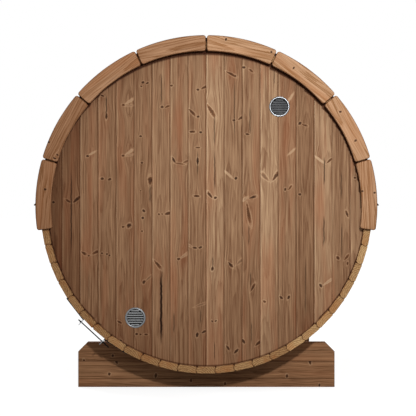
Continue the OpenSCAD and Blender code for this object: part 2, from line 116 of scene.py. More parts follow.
def planed_softwood(name, light, dark, ruddy, ring=0.0065, contrast=1.0, roughness=0.6,
                    figure=(0.3, 1.4, 1.2)):
    """Planed softwood, browned by heat: soft light earlywood and hard dark latewood in long
    flames, a ruddy blush here and there, knots from pale streaks to black pins, hair splits, and
    a dull sheen. The figure is how much its rings, its streaks and its fibres show."""
    finish, tree, shader = new_finish(name)
    grain, tone, knot, taper, split = (
        add_node(tree, "Attribute", attribute_name=kept)
        for kept in ("grain", "tone", "knot", "taper", "split"))

    # Noise drawn out along the grain, by how often it changes in a metre across and along it. The
    # streaks are about 11 mm wide. The fibres are 5 mm, coarser than real ones, so that they show.
    noise = {}
    for pattern, across, along, detail, rough in (
            ("wander", 4, 1.4, 1.5, 0.5), ("streak", 90, 1.1, 3.0, 0.7), ("fibre", 200, 7, 2.0, 0.5),
            ("line", 30, 0.6, 1.0, 0.5), ("blush", 14, 1.3, 2.0, 0.5), ("waver", 0, 22, 2.0, 0.5)):
        at = add_node(tree, "VectorMath", {0: grain, 1: (across, across, along)}, operation="MULTIPLY")
        noise[pattern] = add_node(
            tree, "TexNoise", {"Vector": at, "Scale": 1.0, "Detail": detail, "Roughness": rough})

    # The heart of the log wanders along the plank, about 25 mm over a metre, with the rings round it.
    bent = add_node(tree, "VectorMath",
                    {0: noise["wander"].outputs["Color"], 1: (0.012, 0.05, 0), 2: grain},
                    operation="MULTIPLY_ADD")
    flat = add_node(tree, "VectorMath", {0: bent, 1: (1, 1, 0)}, operation="MULTIPLY")
    radius = add_node(tree, "VectorMath", {0: flat}, operation="LENGTH")
    rise = add_node(tree, "VectorMath", {0: bent, 1: (0, 0, 0.009)}, operation="DOT_PRODUCT")
    grown = add_node(tree, "Math", {0: radius, 1: rise}, operation="ADD")
    rings = add_node(tree, "Math", {0: grown, 1: ring}, operation="DIVIDE")
    uneven = add_node(tree, "Math", {0: noise["streak"], 1: 1.2, 2: rings}, operation="MULTIPLY_ADD")
    ring_place = add_node(tree, "Math", {0: uneven}, operation="FRACT")
    late = add_node(tree, "Math", {0: ring_place, 1: 2.2}, operation="POWER")

    # The mean of rings, streaks and fibres is half way between the two browns.
    by_ring, by_streak, by_fibre = (contrast * share for share in figure)
    late_mean, noise_mean = 0.31, 0.5
    shade = 0.5 - late_mean * by_ring - noise_mean * (by_streak + by_fibre)
    for pattern, share in ((late, by_ring), (noise["streak"], by_streak), (noise["fibre"], by_fibre)):
        shade = add_node(tree, "Math", {0: pattern, 1: share, 2: shade}, operation="MULTIPLY_ADD")
    wood = add_node(tree, "Mix", {0: shade, 6: linear(light), 7: linear(dark)}, data_type="RGBA")

    # Dark lines run up the board every 30 mm or so, and a ruddy blush lies in long patches.
    off_middle = add_node(tree, "Math", {0: noise["line"], 1: 0.5}, operation="SUBTRACT")
    off_line = add_node(tree, "Math", {0: off_middle}, operation="ABSOLUTE")
    line_share = add_node(tree, "MapRange",
                          {"Value": off_line, "From Min": 0.02, "From Max": 0.0, "To Max": 0.3 * contrast})
    lined = add_node(tree, "Mix", {0: line_share, 6: wood, 7: linear("#57361f")}, data_type="RGBA")
    blush_share = add_node(tree, "MapRange",
                           {"Value": noise["blush"], "From Min": 0.48, "From Max": 0.72, "To Max": 0.55})
    blushed = add_node(tree, "Mix", {0: blush_share, 6: lined, 7: linear(ruddy)}, data_type="RGBA")

    # A knot is an oval, or a spike where it tapers: a dark heart, a ragged brown edge and a thin ring
    # of pale wood. The edge is chipped every 6 mm or so, coarser than a real one, so that it shows.
    knot_along, knot_across, knot_dark = add_node(tree, "SeparateXYZ", {0: knot}).outputs
    spike = add_node(tree, "Math", {0: knot_along, 1: taper.outputs["Fac"], 2: 1.0}, operation="MULTIPLY_ADD")
    spike_width = add_node(tree, "Math", {0: spike, 1: 0.15}, operation="MAXIMUM")
    over = add_node(tree, "Math", {0: knot_across, 1: spike_width}, operation="DIVIDE")
    from_knot = add_node(tree, "CombineXYZ", {0: knot_along, 1: over})
    reach = add_node(tree, "VectorMath", {0: from_knot}, operation="LENGTH")
    chip = add_node(tree, "TexNoise", {"Vector": grain, "Scale": 160.0, "Detail": 1.0})
    chipped = add_node(tree, "Math", {0: chip, 1: reach}, operation="ADD")
    ragged = add_node(tree, "Math", {0: noise["fibre"], 1: 0.6, 2: chipped}, operation="MULTIPLY_ADD")
    edge, heart, halo = (
        add_node(tree, "MapRange", {"Value": ragged, "From Min": outside, "From Max": inside, "To Max": most},
                 interpolation_type="SMOOTHSTEP")
        for outside, inside, most in ((2.15, 1.65, 0.9), (1.85, 1.15, 1.0), (2.75, 2.1, 0.32)))
    haloed = add_node(tree, "Mix", {0: halo, 6: blushed, 7: linear("#cfa983")}, data_type="RGBA")
    knot_colour = add_node(tree, "ValToRGB", {0: knot_dark})
    stops = knot_colour.color_ramp.elements
    stops.new(0.5)
    for stop, (place, colour) in zip(stops, ((0.0, "#c9a582"), (0.5, "#744629"), (1.0, "#4a2411"))):
        stop.position, stop.color = place, linear(colour)
    heart_share = add_node(tree, "Math", {0: heart, 1: knot_dark}, operation="MULTIPLY")
    hearted = add_node(tree, "Mix", {0: heart_share, 6: knot_colour, 7: linear("#140703")}, data_type="RGBA")
    knotted = add_node(tree, "Mix", {0: edge, 6: haloed, 7: hearted}, data_type="RGBA")
    toned = add_node(tree, "Mix", {0: 1.0, 6: knotted, 7: tone}, data_type="RGBA", blend_type="MULTIPLY")

    # A split or a resin streak runs with the grain and dies out at both ends.
    split_across, split_along, split_dark = add_node(tree, "SeparateXYZ", {0: split}).outputs
    wavered = add_node(tree, "Math", {0: noise["waver"], 1: 3.0, 2: split_across}, operation="MULTIPLY_ADD")
    off_split = add_node(tree, "Math", {0: wavered, 1: 1.5}, operation="SUBTRACT")
    off_side = add_node(tree, "Math", {0: off_split}, operation="ABSOLUTE")
    thin = add_node(tree, "MapRange", {"Value": off_side, "From Min": 1.6, "From Max": 0.7})
    off_end = add_node(tree, "Math", {0: split_along}, operation="ABSOLUTE")
    fade = add_node(tree, "MapRange", {"Value": off_end, "From Min": 1.0, "From Max": 0.6})
    drawn = add_node(tree, "Math", {0: thin, 1: fade}, operation="MULTIPLY")
    split_share = add_node(tree, "Math", {0: drawn, 1: split_dark}, operation="MULTIPLY")
    finished = add_node(tree, "Mix", {0: split_share, 6: toned, 7: linear("#24140b")}, data_type="RGBA")

    dull = add_node(tree, "MapRange",
                    {"Value": shade, "To Min": roughness - 0.05, "To Max": roughness + 0.08})
    relief = add_node(tree, "Math", {0: split_share, 1: -2.0, 2: shade}, operation="MULTIPLY_ADD")
    bump = add_node(tree, "Bump", {"Height": relief, "Strength": 0.35, "Distance": 0.0008})
    feed(tree, shader, {"Base Color": finished, "Roughness": dull, "Normal": bump,
                        "Specular IOR Level": 0.06})
    return finish


def new_planks():
    """An empty mesh with room for what the wood finish reads from a plank."""
    bm = bmesh.new()
    for name in ("grain", "tone"):
        bm.verts.layers.float_vector.new(name)
    for name in ("knot", "split"):
        bm.loops.layers.float_vector.new(name)
    bm.faces.layers.float.new("taper")
    return bm


def knot_place(knot, co):
    """Where a point lies from a knot, in the knot's own half length and half width."""
    x, z, half_length, half_width, slant = knot[:5]
    c, s = math.cos(slant), math.sin(slant)
    dx, dz = co.x - x, co.z - z
    return (dx * c + dz * s) / half_length, (dz * c - dx * s) / half_width


def lay_plank(planks, plank, rng, place, tone=1.0, dirt_and_painted_light=None, knots=(), splits=()):
    """Gives a plank its grain, tone, dirt and painted light and shade, knots and splits, and lays it in its
    place among the others.
    A plank is made with X across the grain, Y into the wood from its show face and Z along it."""
    grain = plank.verts.layers.float_vector["grain"]
    tones = plank.verts.layers.float_vector["tone"]
    knot_at = plank.loops.layers.float_vector["knot"]
    split_at = plank.loops.layers.float_vector["split"]
    tapers = plank.faces.layers.float["taper"]
    bmesh.ops.recalc_face_normals(plank, faces=plank.faces[:])
    middle = (min(v.co.x for v in plank.verts) + max(v.co.x for v in plank.verts)) / 2
    across = rng.uniform(-0.05, 0.05)
    depth = rng.uniform(0.02, 0.09)
    along = rng.uniform(0, 60)
    heart = Vector((across - middle, depth, along))
    for vert in plank.verts:
        co = vert.co
        # The grain parts round each knot and closes again beyond it.
        bend = 0.0
        for x, z, half_length, half_width, *_ in knots:
            size = max(0.5 * (half_length + half_width), SMALLEST_BEND)
            dx, dz = (co.x - x) / size, (co.z - z) / size
            bend += (GRAIN_BEND * size * math.tanh(GRAIN_BEND_STEEP * dx)
                     * math.exp(-abs(dx) / GRAIN_BEND_WIDE - (dz / GRAIN_BEND_LONG) ** 2))
        vert[grain] = co + heart - Vector((bend, 0, 0))
        shade = tone * dirt_and_painted_light(co) if dirt_and_painted_light else tone
        vert[tones] = tuple(shade ** power for power in DARKENING)
    for face in plank.faces:
        centre = face.calc_center_median()
        shows = face.normal.y < -0.5
        knot = min(knots, key=lambda k: math.hypot(*knot_place(k, centre))) if shows and knots else None
        beside = [s for s in splits if shows and abs(centre.z - s[1]) < s[2] + SPLIT_MARGIN]
        split = min(beside, key=lambda s: abs(centre.x - s[0])) if beside else None
        face[tapers] = knot[5] if knot else 0.0
        for loop in face.loops:
            co = loop.vert.co
            loop[knot_at] = (*knot_place(knot, co), knot[6]) if knot else NOWHERE
            loop[split_at] = NOWHERE
            if split:
                x, z, half_length, half_width, dark = split
                loop[split_at] = ((co.x - x) / half_width, (co.z - z) / half_length, dark)
    bmesh.ops.transform(plank, matrix=place, verts=plank.verts[:])
    laid = bpy.data.meshes.new("plank")
    plank.to_mesh(laid)
    plank.free()
    planks.from_mesh(laid)
    bpy.data.meshes.remove(laid)


def scattered_knots(rng, count, across, along):
    """Pin knots and slanting spike knots strewn over a plank's show face."""
    knots = []
    for _ in range(count):
        half_width = rng.uniform(0.003, 0.0075)
        half_length = half_width * rng.choice((1.0, 1.2, 2.4))
        x, z = rng.uniform(*across), rng.uniform(*along)
        slant, taper, dark = rng.uniform(-1.0, 1.0), rng.uniform(-0.6, 0.6), rng.uniform(0.5, 0.95)
        knots.append((x, z, half_length, half_width, slant, taper, dark))
    return knots


def photo_spot(x, y, place):
    """Where a photo pixel lies on the show face of a plank at this place, and how large it is there."""
    depth = place.translation.y
    pixel = VIEW_SPREAD / PHOTO_PIXELS * (depth - EYE.y)
    right = (x - PHOTO_PIXELS / 2) * pixel
    down = (y - PHOTO_PIXELS / 2) * pixel
    spot = place.inverted() @ Vector((EYE.x + right, depth, EYE.z - down))
    return spot.x, spot.z, pixel


def photo_knots(rows, place):
    """Knots listed in photo pixels, as they lie on the show face of a plank at this place."""
    knots = []
    for x, y, half_length, half_width, slant, taper, dark in rows:
        x, z, pixel = photo_spot(x, y, place)
        knots.append((x, z, half_length * pixel, half_width * pixel, math.radians(slant), taper, dark))
    return knots


def made_verts(made):
    """The vertices in what an operator says it made."""
    return [g for g in made if isinstance(g, bmesh.types.BMVert)]


def round_edges(bm, edges, width, segments):
    """Rounds these edges, or cuts them off flat where there is one segment."""
    bmesh.ops.bevel(bm, geom=list(edges), offset=width, segments=segments, profile=0.5,
                    affect="EDGES", material=-1)


def ease_edges(plank, width, segments):
    """Rounds the edges round a plank's show face."""
    bmesh.ops.recalc_face_normals(plank, faces=plank.faces[:])
    edges = [e for e in plank.edges if len(e.link_faces) == 2
             and (e.link_faces[0].normal.y < -0.9) != (e.link_faces[1].normal.y < -0.9)]
    round_edges(plank, edges, width, segments)


def make_piece(name, bm, finishes, slot, *nodes):
    """Makes a piece of a mesh that is already in its place, in the stead of these CAD nodes."""
    mesh = bpy.data.meshes.new(name)
    bm.to_mesh(mesh)
    bm.free()
    for finish in finishes:
        mesh.materials.append(finish)
    mesh.shade_smooth()
    mesh.set_sharp_from_angle(angle=SHARP_ANGLE)
    piece = bpy.data.objects.new(name, mesh)
    bpy.context.scene.collection.objects.link(piece)
    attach(piece, "root")
    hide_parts(*nodes)


def seat_half(height):
    """Half the width of the round seat at a height above the ground."""
    return math.sqrt(max(0, seat_r ** 2 - (axis_z - height) ** 2))


def cradle_top(x):
    """How high a cradle stands at a place across the barrel."""
    corner = cradle_high.z - max(0, abs(x) - (cradle_high.x - CRADLE_CORNER))
    seat = axis_z - math.sqrt(seat_r ** 2 - x ** 2)
    return min(corner, seat) if abs(x) > seat_half(cradle_high.z) else seat


def cradle_beam(low, high, stops):
    """One beam of a cradle between two glue lines, with its top sawn out to the seat."""
    beam = new_planks()
    columns = [stops[0]]
    for start, end in zip(stops, stops[1:]):
        count = max(1, round((end - start) / CRADLE_CELL))
        columns += [start + (end - start) * (i + 1) / count for i in range(count)]
    rows = max(2, round((high - low) / CRADLE_CELL))
    bmesh.ops.create_grid(beam, x_segments=rows, y_segments=len(columns) - 1, size=0.5)
    for vert in beam.verts:
        along = columns[round((vert.co.y + 0.5) * (len(columns) - 1))]
        top = max(low + CRADLE_THINNEST, min(high, cradle_top(along)))
        vert.co = (low + (top - low) * (vert.co.x + 0.5), 0, along)
    back = bmesh.ops.extrude_face_region(beam, geom=beam.faces[:], use_keep_orig=True)
    bmesh.ops.translate(beam, vec=(0, cradle_high.y - cradle_low.y, 0), verts=made_verts(back["geom"]))
    ease_edges(beam, CRADLE_EASED_EDGE, 2)
    return beam


def glue_dirt(co):
    """How dark dirt makes a beam: it lies in the eased edges along the glue lines."""
    return GLUE_LINE_TONE if 0.1 * CRADLE_EASED_EDGE < co.y < 2 * CRADLE_EASED_EDGE else 1.0


# Oiled softwood: dark, with brown flames along each beam.
cradle_wood = planed_softwood("oiled_softwood_beam", "#ab7e5a", "#6a482f", "#9a6745", contrast=1.25)
inner = seat_half(CRADLE_GLUE_LINES[1])
shoulder = seat_half(cradle_high.z)
outer = cradle_high.x
beams = (
    (0.0, CRADLE_GLUE_LINES[0], (-outer, outer)),
    (*CRADLE_GLUE_LINES, (-outer, -inner, inner, outer)),
    (CRADLE_GLUE_LINES[1], cradle_high.z, (-outer, CRADLE_CORNER - outer, -shoulder, -inner)),
    (CRADLE_GLUE_LINES[1], cradle_high.z, (inner, shoulder, outer - CRADLE_CORNER, outer)),
)
for end, turn in (("back", 0), ("front", math.pi)):
    rng = random.Random(f"{end} cradle")
    bm = new_planks()
    place = (Matrix.Rotation(turn, 4, "Z") @ Matrix.Translation((0, cradle_low.y, 0))
             @ Matrix.Rotation(-math.pi / 2, 4, "Y"))
    for low, high, stops in beams:
        if end == "back":
            knots = [k for k in photo_knots(CRADLE_KNOTS, place)
                     if low < k[0] < high and stops[0] < k[1] < stops[-1]]
        else:
            knots = scattered_knots(rng, BEAM_KNOTS, (low, high), (stops[0], stops[-1]))
        tone = rng.uniform(*BEAM_TONES)
        lay_plank(bm, cradle_beam(low, high, stops), rng, place, tone, glue_dirt, knots)
    make_piece(f"{end}_cradle_beams", bm, [cradle_wood], "cradle_wood", f"{end}_cradle")

# Staves: 54 straight planed boards laid edge to edge round the barrel. A bead along one edge
# of each sits in a cove along the next, and the sawn ends stand bare round the lower half.
STAVE_COUNT = 54
STAVE_CHAMFER = 0.0065
STAVE_GAP = 0.00015
STAVE_CELL = 0.040
# The dark edges of the staves are partly dirt in the joints and partly painted shade in the notches between
# them.
STAVE_DARK_EDGE = 0.004
STAVE_JOINT_TONE = 0.22
STAVE_KNOTS = 7
STAVE_SPREAD = (0.85, 1.1)
WALL_LET_IN = 0.0097
BEAD_HALF = 0.012
BEAD_HEIGHT = 0.006
BEAD_R = (BEAD_HALF ** 2 + BEAD_HEIGHT ** 2) / (2 * BEAD_HEIGHT)
SHADES = {  # how light a board's wood is beside the common run of it
    "darkest": 0.45, "dark": 0.6, "umber": 0.75, "brown": 0.9, "mid": 1.05, "light": 1.2, "pale": 1.4,
}
# The umber staves at the bottom and lower left are partly the wood's own tone and partly painted shade,
# darker where the light falls off.
STAVE_GROUPS = (  # name, where its middle stave lies, shade
    ("bottom", 270, "umber"), ("lower_right", 330, "mid"), ("upper_right", 30, "mid"),
    ("top", 90, "mid"), ("upper_left", 150, "mid"), ("lower_left", 210, "umber"),
)

stave_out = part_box("staves_top")[1].z - axis_z
stave_in = (wall_high.x - wall_low.x) / 2 - WALL_LET_IN
stave_thick = stave_out - stave_in
stave_ends = (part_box("staves_top")[0].y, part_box("staves_top")[1].y)
half_turn = math.pi / STAVE_COUNT
stave_half = stave_out * math.tan(half_turn)


def bead_rise(depth):
    """How far the bead stands out at a depth into the stave."""
    from_middle = depth - stave_thick / 2
    if abs(from_middle) >= BEAD_HALF:
        return 0.0
    return math.sqrt(BEAD_R ** 2 - from_middle ** 2) - (BEAD_R - BEAD_HEIGHT)


def stave():
    """One stave: a tapered section with chamfered edges, a bead and a cove, drawn out to length."""
    board = new_planks()
    out = stave_half - STAVE_GAP
    inside = stave_in * math.tan(half_turn) - STAVE_GAP
    corners = [board.verts.new((x, y, -stave_ends[1])) for x, y in
               ((-out, 0), (out, 0), (inside, stave_thick), (-inside, stave_thick))]
    board.faces.new(corners)
    bmesh.ops.bevel(board, geom=corners, offset=STAVE_CHAMFER, segments=1, profile=0.5,
                    affect="VERTICES", material=-1)
    sides = [e for e in board.edges if abs(e.verts[0].co.y - e.verts[1].co.y) > stave_thick / 2]
    fronts = [e for e in board.edges if max(v.co.y for v in e.verts) < STAVE_CHAMFER / 2]
    rounds = bmesh.ops.subdivide_edges(board, edges=sides, cuts=7)
    for vert in made_verts(rounds["geom_inner"]):
        vert.co.x -= bead_rise(vert.co.y)
    bmesh.ops.subdivide_edges(board, edges=fronts, cuts=3)
    length = stave_ends[1] - stave_ends[0]
    drawn = bmesh.ops.extrude_face_region(board, geom=board.faces[:], use_keep_orig=True)
    bmesh.ops.translate(board, vec=(0, 0, length), verts=made_verts(drawn["geom"]))
    long_edges = [e for e in board.edges if e.calc_length() > length / 2]
    cuts = round(length / STAVE_CELL) - 1
    bmesh.ops.subdivide_edges(board, edges=long_edges, cuts=cuts, use_grid_fill=True)
    for end in stave_ends:
        parts = [f for f in board.faces if all(abs(v.co.z + end) < 1e-6 for v in f.verts)]
        sawn = bmesh.ops.dissolve_faces(board, faces=parts)["region"]
        for face in sawn:
            face.material_index = 1
        bmesh.ops.inset_individual(board, faces=sawn, thickness=STAVE_DARK_EDGE)
    return board


def joint_dirt_and_shade(co):
    """How dark a stave is along its edges: partly dirt in the joints, partly painted shade in the notches
    between staves.
    """
    to_joint = (stave_out - co.y) * math.tan(half_turn) - abs(co.x + bead_rise(co.y))
    return STAVE_JOINT_TONE if to_joint < STAVE_DARK_EDGE / 2 else 1.0


# Planed softwood outside, browned by the weather; the sawn ends are paler and yellower, with rings
# drawn 11 mm apart, coarser than real ones, so that they show.
stave_wood = planed_softwood("planed_softwood_stave", "#b08a63", "#775036", "#96653f")
stave_end_wood = planed_softwood("sawn_end_grain", "#cba473", "#916a45", "#ad7141", ring=0.011,
                                 roughness=0.75, figure=(1.5, 1.3, 1.0))
group_count = STAVE_COUNT // len(STAVE_GROUPS)
for group, turn, shade in STAVE_GROUPS:
    rng = random.Random(f"staves {group}")
    bm = new_planks()
    for index in range(group_count):
        angle = math.radians(turn) + 2 * half_turn * (index - (group_count - 1) / 2)
        radial = Vector((math.cos(angle), 0, math.sin(angle)))
        across = Vector((-radial.z, 0, radial.x))
        place = Matrix.Translation(radial * stave_out + Vector((0, 0, axis_z))) @ Matrix(
            (across, -radial, (0, -1, 0))).transposed().to_4x4()
        knots = scattered_knots(rng, STAVE_KNOTS, (-stave_half, stave_half), stave_ends)
        tone = SHADES[shade] * rng.uniform(*STAVE_SPREAD)
        lay_plank(bm, stave(), rng, place, tone, joint_dirt_and_shade, knots)
    make_piece(f"{group}_staves", bm, [stave_wood, stave_end_wood], "stave_wood", f"staves_{group}")

# Back wall: upright tongued boards of heat-treated softwood with eased edges, cut to a round
# and let into a groove inside the staves. Two round holes take the vents.
BOARD_WIDTH = 0.1085
BOARDS_EACH_SIDE = 9
BOARD_GROOVE = 0.003
BOARD_ARRIS = 0.001
# A board's pale left edge is a painted highlight; its dark right edge and groove are partly dirt, partly
# painted shade.
BOARD_PALE_EDGE = 0.012
BOARD_DARK_EDGE = 0.010
BOARD_CELL = 0.010
BOARD_PAINTED_HIGHLIGHT_TONE = 1.3
BOARD_GROOVE_TONE = 0.35
BOARD_DIRT_AND_SHADE_TONE = 0.6
WALL_TIP = 0.001
# The wall darkens towards the ground: painted shade where the light falls off.
WALL_LOW_SHADE = 0.26
WALL_LOW_SHADE_FROM = -0.1
WALL_LOW_SHADE_DROP = 0.8
# The wall's dark rim is partly dirt in the corner and partly painted shadow under the trim and painted shade
# by the staves.
WALL_RIM_LOW = 0.951
WALL_RIM_HIGH = 0.936
WALL_RIM_SHADE = 0.016
WALL_RIM_TONE = 0.13
WALL_SHADE_TURN = math.radians(60)
VENT_HOLE_R = 0.0523
# The darkest boards at the left are partly the wood's own tone and partly painted shade, darker on the side
# away from the light.
WALL_SHADES = ("darkest", "dark", "brown", "brown", "brown", "brown", "mid", "mid", "mid",
               "pale", "mid", "mid", "pale", "mid", "brown", "pale", "mid", "light")
WALL_KNOTS = (  # photo x and y, half length and half width in pixels, slant, taper, darkness
    (53.5, 202.3, 1.3, 1.1, 0, 0, 0.9), (68.2, 201, 3.0, 1.0, -32, 0, 0.6),
    (76.6, 199.6, 4.4, 1.4, 40, 0.3, 0.85), (87.5, 156.2, 1.5, 1.2, 20, 0, 0.85),
    (92.2, 153.2, 3.5, 0.8, 30, 0, 0.1), (102, 95.6, 2.4, 0.8, -22, 0, 0.8),
    (106.4, 116.4, 2.8, 1.1, 88, 0, 0.85), (102, 178.6, 1.6, 1.3, 0, 0, 0.85),
    (109.4, 179.4, 1.8, 1.0, 20, 0.3, 0.75), (83.8, 253.2, 2.8, 1.2, -32, 0.3, 0.65),
    (88.8, 255.6, 1.0, 0.9, 0, 0, 0.7), (95.6, 252.4, 3.8, 1.4, 30, 0.3, 0.6),
    (101.9, 253.2, 1.2, 0.9, 0, 0, 0.8), (106.9, 254, 1.2, 0.9, 0, 0, 0.8),
    (109.4, 255.4, 1.0, 0.9, 0, 0, 0.8), (123.3, 105, 1.4, 1.1, 0, 0, 0.55),
    (129.5, 101.3, 5.2, 1.0, 34, 0.3, 0.12), (129.5, 105.7, 4.0, 0.8, 4, 0, 0.25),
    (123.1, 155.7, 1.4, 1.1, 0, 0, 0.65), (129.2, 152.2, 5.2, 1.0, 36, 0.3, 0.12),
    (129.8, 155.2, 3.6, 0.8, 12, 0, 0.25), (123.1, 226.9, 1.2, 1.0, 0, 0, 0.7),
    (129, 225.6, 2.4, 1.9, 35, 0, 0.9), (119.4, 322, 2.4, 1.1, -30, 0, 0.75),
    (120.6, 340.5, 1.4, 1.2, 0, 0, 0.9), (136.5, 334, 1.4, 1.1, 0, 0, 0.85),
    (140.4, 334.4, 1.0, 0.8, 0, 0, 0.7), (146, 334.4, 2.0, 1.0, 0, 0, 0.7),
    (142.9, 82.3, 1.5, 1.2, 0, 0, 0.9), (141.4, 86.3, 1.2, 1.0, 0, 0, 0.75),
    (147.4, 83, 1.5, 1.0, 20, 0, 0.85), (140.6, 136.2, 1.4, 1.1, 0, 0, 0.85),
    (141.9, 162.6, 1.3, 1.1, 0, 0, 0.85), (140.6, 190.8, 0.9, 0.8, 0, 0, 0.6),
    (143.8, 210.8, 1.6, 1.2, -40, 0, 0.95), (142.7, 217.9, 1.3, 1.2, 0, 0, 0.95),
    (142, 231.3, 1.0, 0.9, 0, 0, 0.65), (140.6, 265, 0.8, 0.8, 0, 0, 0.5),
    (150, 180.8, 4.2, 1.9, 88, 0.2, 0.7), (144, 282, 2.0, 1.3, 60, 0, 0.85),
    (148.2, 278.6, 4.6, 0.9, 44, 0.3, 0.35), (157.6, 264.4, 5.4, 1.4, -49, 0.3, 0.7),
    (162.1, 106.9, 1.6, 1.2, 0, 0, 0.85), (167.1, 106.6, 2.6, 1.0, 22, 0.3, 0.6),
    (171.5, 85.6, 1.4, 1.1, 0, 0, 0.7), (159, 214.2, 1.1, 1.0, 0, 0, 0.7),
    (162.2, 214, 1.0, 0.8, 0, 0, 0.6), (167.6, 213.5, 3.0, 1.3, 14, 0.3, 0.7),
    (173.8, 160, 2.8, 1.1, -60, 0, 0.9), (179.5, 163.6, 4.5, 1.0, -8, 0, 0.45),
    (186.2, 161.5, 3.5, 1.1, 25, 0, 0.45), (178.6, 259, 1.4, 1.2, 0, 0, 0.85),
    (183.6, 256, 5.0, 1.0, 36, 0.4, 0.25), (198, 89.7, 1.3, 1.1, 0, 0, 0.8),
    (204, 87.4, 3.2, 1.1, 30, 0.3, 0.65), (192, 112.2, 4.6, 1.3, -44, 0.3, 0.65),
    (198.3, 116.6, 1.3, 1.1, 0, 0, 0.85), (191.8, 131.7, 3.0, 1.2, 0, 0.3, 0.75),
    (200.8, 132.3, 1.4, 1.1, 0, 0, 0.85), (197.8, 147.6, 2.2, 0.8, 0, 0, 0.7),
    (197.7, 161, 3.0, 1.2, 90, 0, 1.0), (196.6, 196, 2.8, 1.1, -5, 0, 0.75),
    (190, 245.8, 2.0, 0.9, -30, 0, 0.3), (194.8, 247.8, 2.2, 1.0, -10, 0, 0.8),
    (200.5, 247.4, 1.8, 1.1, 20, 0, 0.9), (200, 305, 5.4, 0.9, 20, 0.3, 0.35),
    (197.1, 335, 2.2, 1.3, 80, 0, 0.95), (203.6, 332, 2.4, 1.0, 30, 0.3, 0.85),
    (211, 110.6, 7.0, 1.6, -57, 0.25, 0.55), (209.9, 195, 3.8, 1.2, -50, -0.3, 0.8),
    (215.4, 197.7, 1.5, 1.2, 20, 0, 0.9), (212.4, 268.8, 2.0, 1.3, 75, 0, 0.9),
    (212.2, 321.2, 1.3, 0.9, -60, 0, 0.8), (215.8, 321, 1.4, 0.9, 50, 0, 0.85),
    (231, 74, 4.8, 1.2, -27, 0.3, 0.7), (235, 76, 1.2, 1.0, 0, 0, 0.85),
    (233.9, 120.3, 1.4, 1.1, 0, 0, 0.85), (240.7, 118, 3.4, 1.1, 35, 0.4, 0.65),
    (228.3, 174.3, 4.6, 0.9, -42, 0, 0.1), (235.9, 178.3, 1.6, 1.3, 50, 0, 1.0),
    (230.4, 264.6, 3.2, 1.3, -50, 0.3, 0.9), (239.6, 262, 4.4, 1.1, 42, 0.4, 0.35),
    (227.9, 347.8, 2.7, 1.1, -55, 0, 0.8), (236.4, 351, 2.8, 1.2, 45, 0, 0.85),
    (244, 67.4, 1.6, 1.2, 0, 0, 0.85), (251, 70.6, 2.6, 1.1, -40, 0, 0.6),
    (247.4, 134.2, 2.0, 0.9, -10, 0, 0.75), (245, 199, 2.6, 1.1, 40, 0, 0.2),
    (252.7, 197.2, 3.4, 1.1, 18, 0.4, 0.85), (248.6, 213.5, 9.5, 1.5, -80, 0.3, 0.6),
    (252.8, 287.5, 4.2, 1.1, 62, 0.3, 0.75), (243.6, 341.4, 2.2, 1.1, -60, 0, 0.85),
    (258, 343.4, 3.4, 1.2, 42, 0.3, 0.75), (264.8, 176.8, 5.2, 1.6, -45, -0.3, 0.4),
    (275.6, 176.4, 5.0, 1.5, 54, 0.4, 0.7), (264.4, 301.4, 1.6, 1.1, -20, 0, 0.6),
    (285.2, 189.4, 1.6, 1.1, 80, 0, 0.8), (290, 187.8, 2.6, 0.9, 52, 0.4, 0.5),
    (290.7, 97.5, 4.4, 0.9, 58, 0, 0.08), (292, 151.4, 4.2, 0.8, 42, 0, 0.1),
    (281.1, 297.5, 2.0, 1.2, -45, 0, 0.9), (288.6, 297.4, 1.9, 1.1, 65, 0, 0.85),
    (300, 123.4, 1.7, 1.3, 30, 0, 0.9), (304.8, 125.2, 2.6, 0.9, -15, 0.3, 0.6),
    (299.9, 194.4, 1.5, 1.1, 0, 0, 0.85), (319.8, 159.8, 4.2, 0.9, -38, 0, 0.15),
    (329.3, 160.8, 3.6, 1.0, 42, 0.3, 0.6), (320.7, 285.5, 1.9, 1.2, -60, 0, 0.9),
    (328.2, 281.7, 4.6, 0.9, 36, 0.3, 0.2), (347, 214, 3.0, 1.1, -70, 0, 0.75),
    (355, 177.8, 1.3, 1.1, 0, 0, 0.8), (338, 257.8, 2.0, 1.4, -50, 0, 0.75),
    (346.5, 257.4, 3.4, 1.1, 50, 0.3, 0.55), (347.5, 263.5, 1.8, 0.9, 80, 0, 0.6),
)
WALL_SPLITS = (  # photo x, upper and lower y, half width in pixels, darkness
    (71.3, 166, 258, 0.5, 0.85), (88.9, 272, 302, 0.4, 0.4), (106.4, 95, 117, 0.5, 0.8),
    (150.2, 184, 203, 0.9, 0.5), (161.4, 72, 106, 0.5, 0.6), (161.2, 268, 346, 0.95, 1.0),
    (174, 312, 334, 0.6, 0.6), (178.9, 62, 79, 0.4, 0.4), (197.6, 150, 176, 0.4, 0.6),
    (200.7, 309, 324, 0.5, 0.5), (214.6, 150, 192, 0.6, 0.6), (214.4, 113, 146, 0.5, 0.6),
    (212.8, 256, 270, 0.4, 0.7), (214.6, 341, 361, 0.4, 0.6), (234.4, 76, 140, 0.4, 0.6),
    (250, 106, 135, 0.5, 0.6), (248.8, 224, 246, 0.6, 0.5), (250.6, 272, 287, 0.5, 0.6),
    (251.3, 321, 344, 0.5, 0.6), (274.3, 69, 85, 0.5, 0.5), (305.5, 256, 318, 0.5, 0.55),
    (324.4, 156, 186, 0.6, 0.7), (323.8, 215, 248, 0.7, 0.65), (341.3, 170, 200, 0.6, 0.55),
    (341.8, 222, 260, 0.5, 0.6),
)

wall_r = (wall_high.x - wall_low.x) / 2
wall_thick = wall_high.y - wall_low.y
vent_holes = []
for vent in ("upper_vent", "lower_vent"):
    low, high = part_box(vent)
    vent_holes.append(((low.x + high.x) / 2, (low.z + high.z) / 2 - axis_z))


def board_sides(index):
    """The left and right side of an end wall's board, counted from the left as it is looked at."""
    left = (index - BOARDS_EACH_SIDE) * BOARD_WIDTH
    right = (index + 1 - BOARDS_EACH_SIDE) * BOARD_WIDTH
    return max(left, WALL_TIP - wall_r), min(right, wall_r - WALL_TIP)


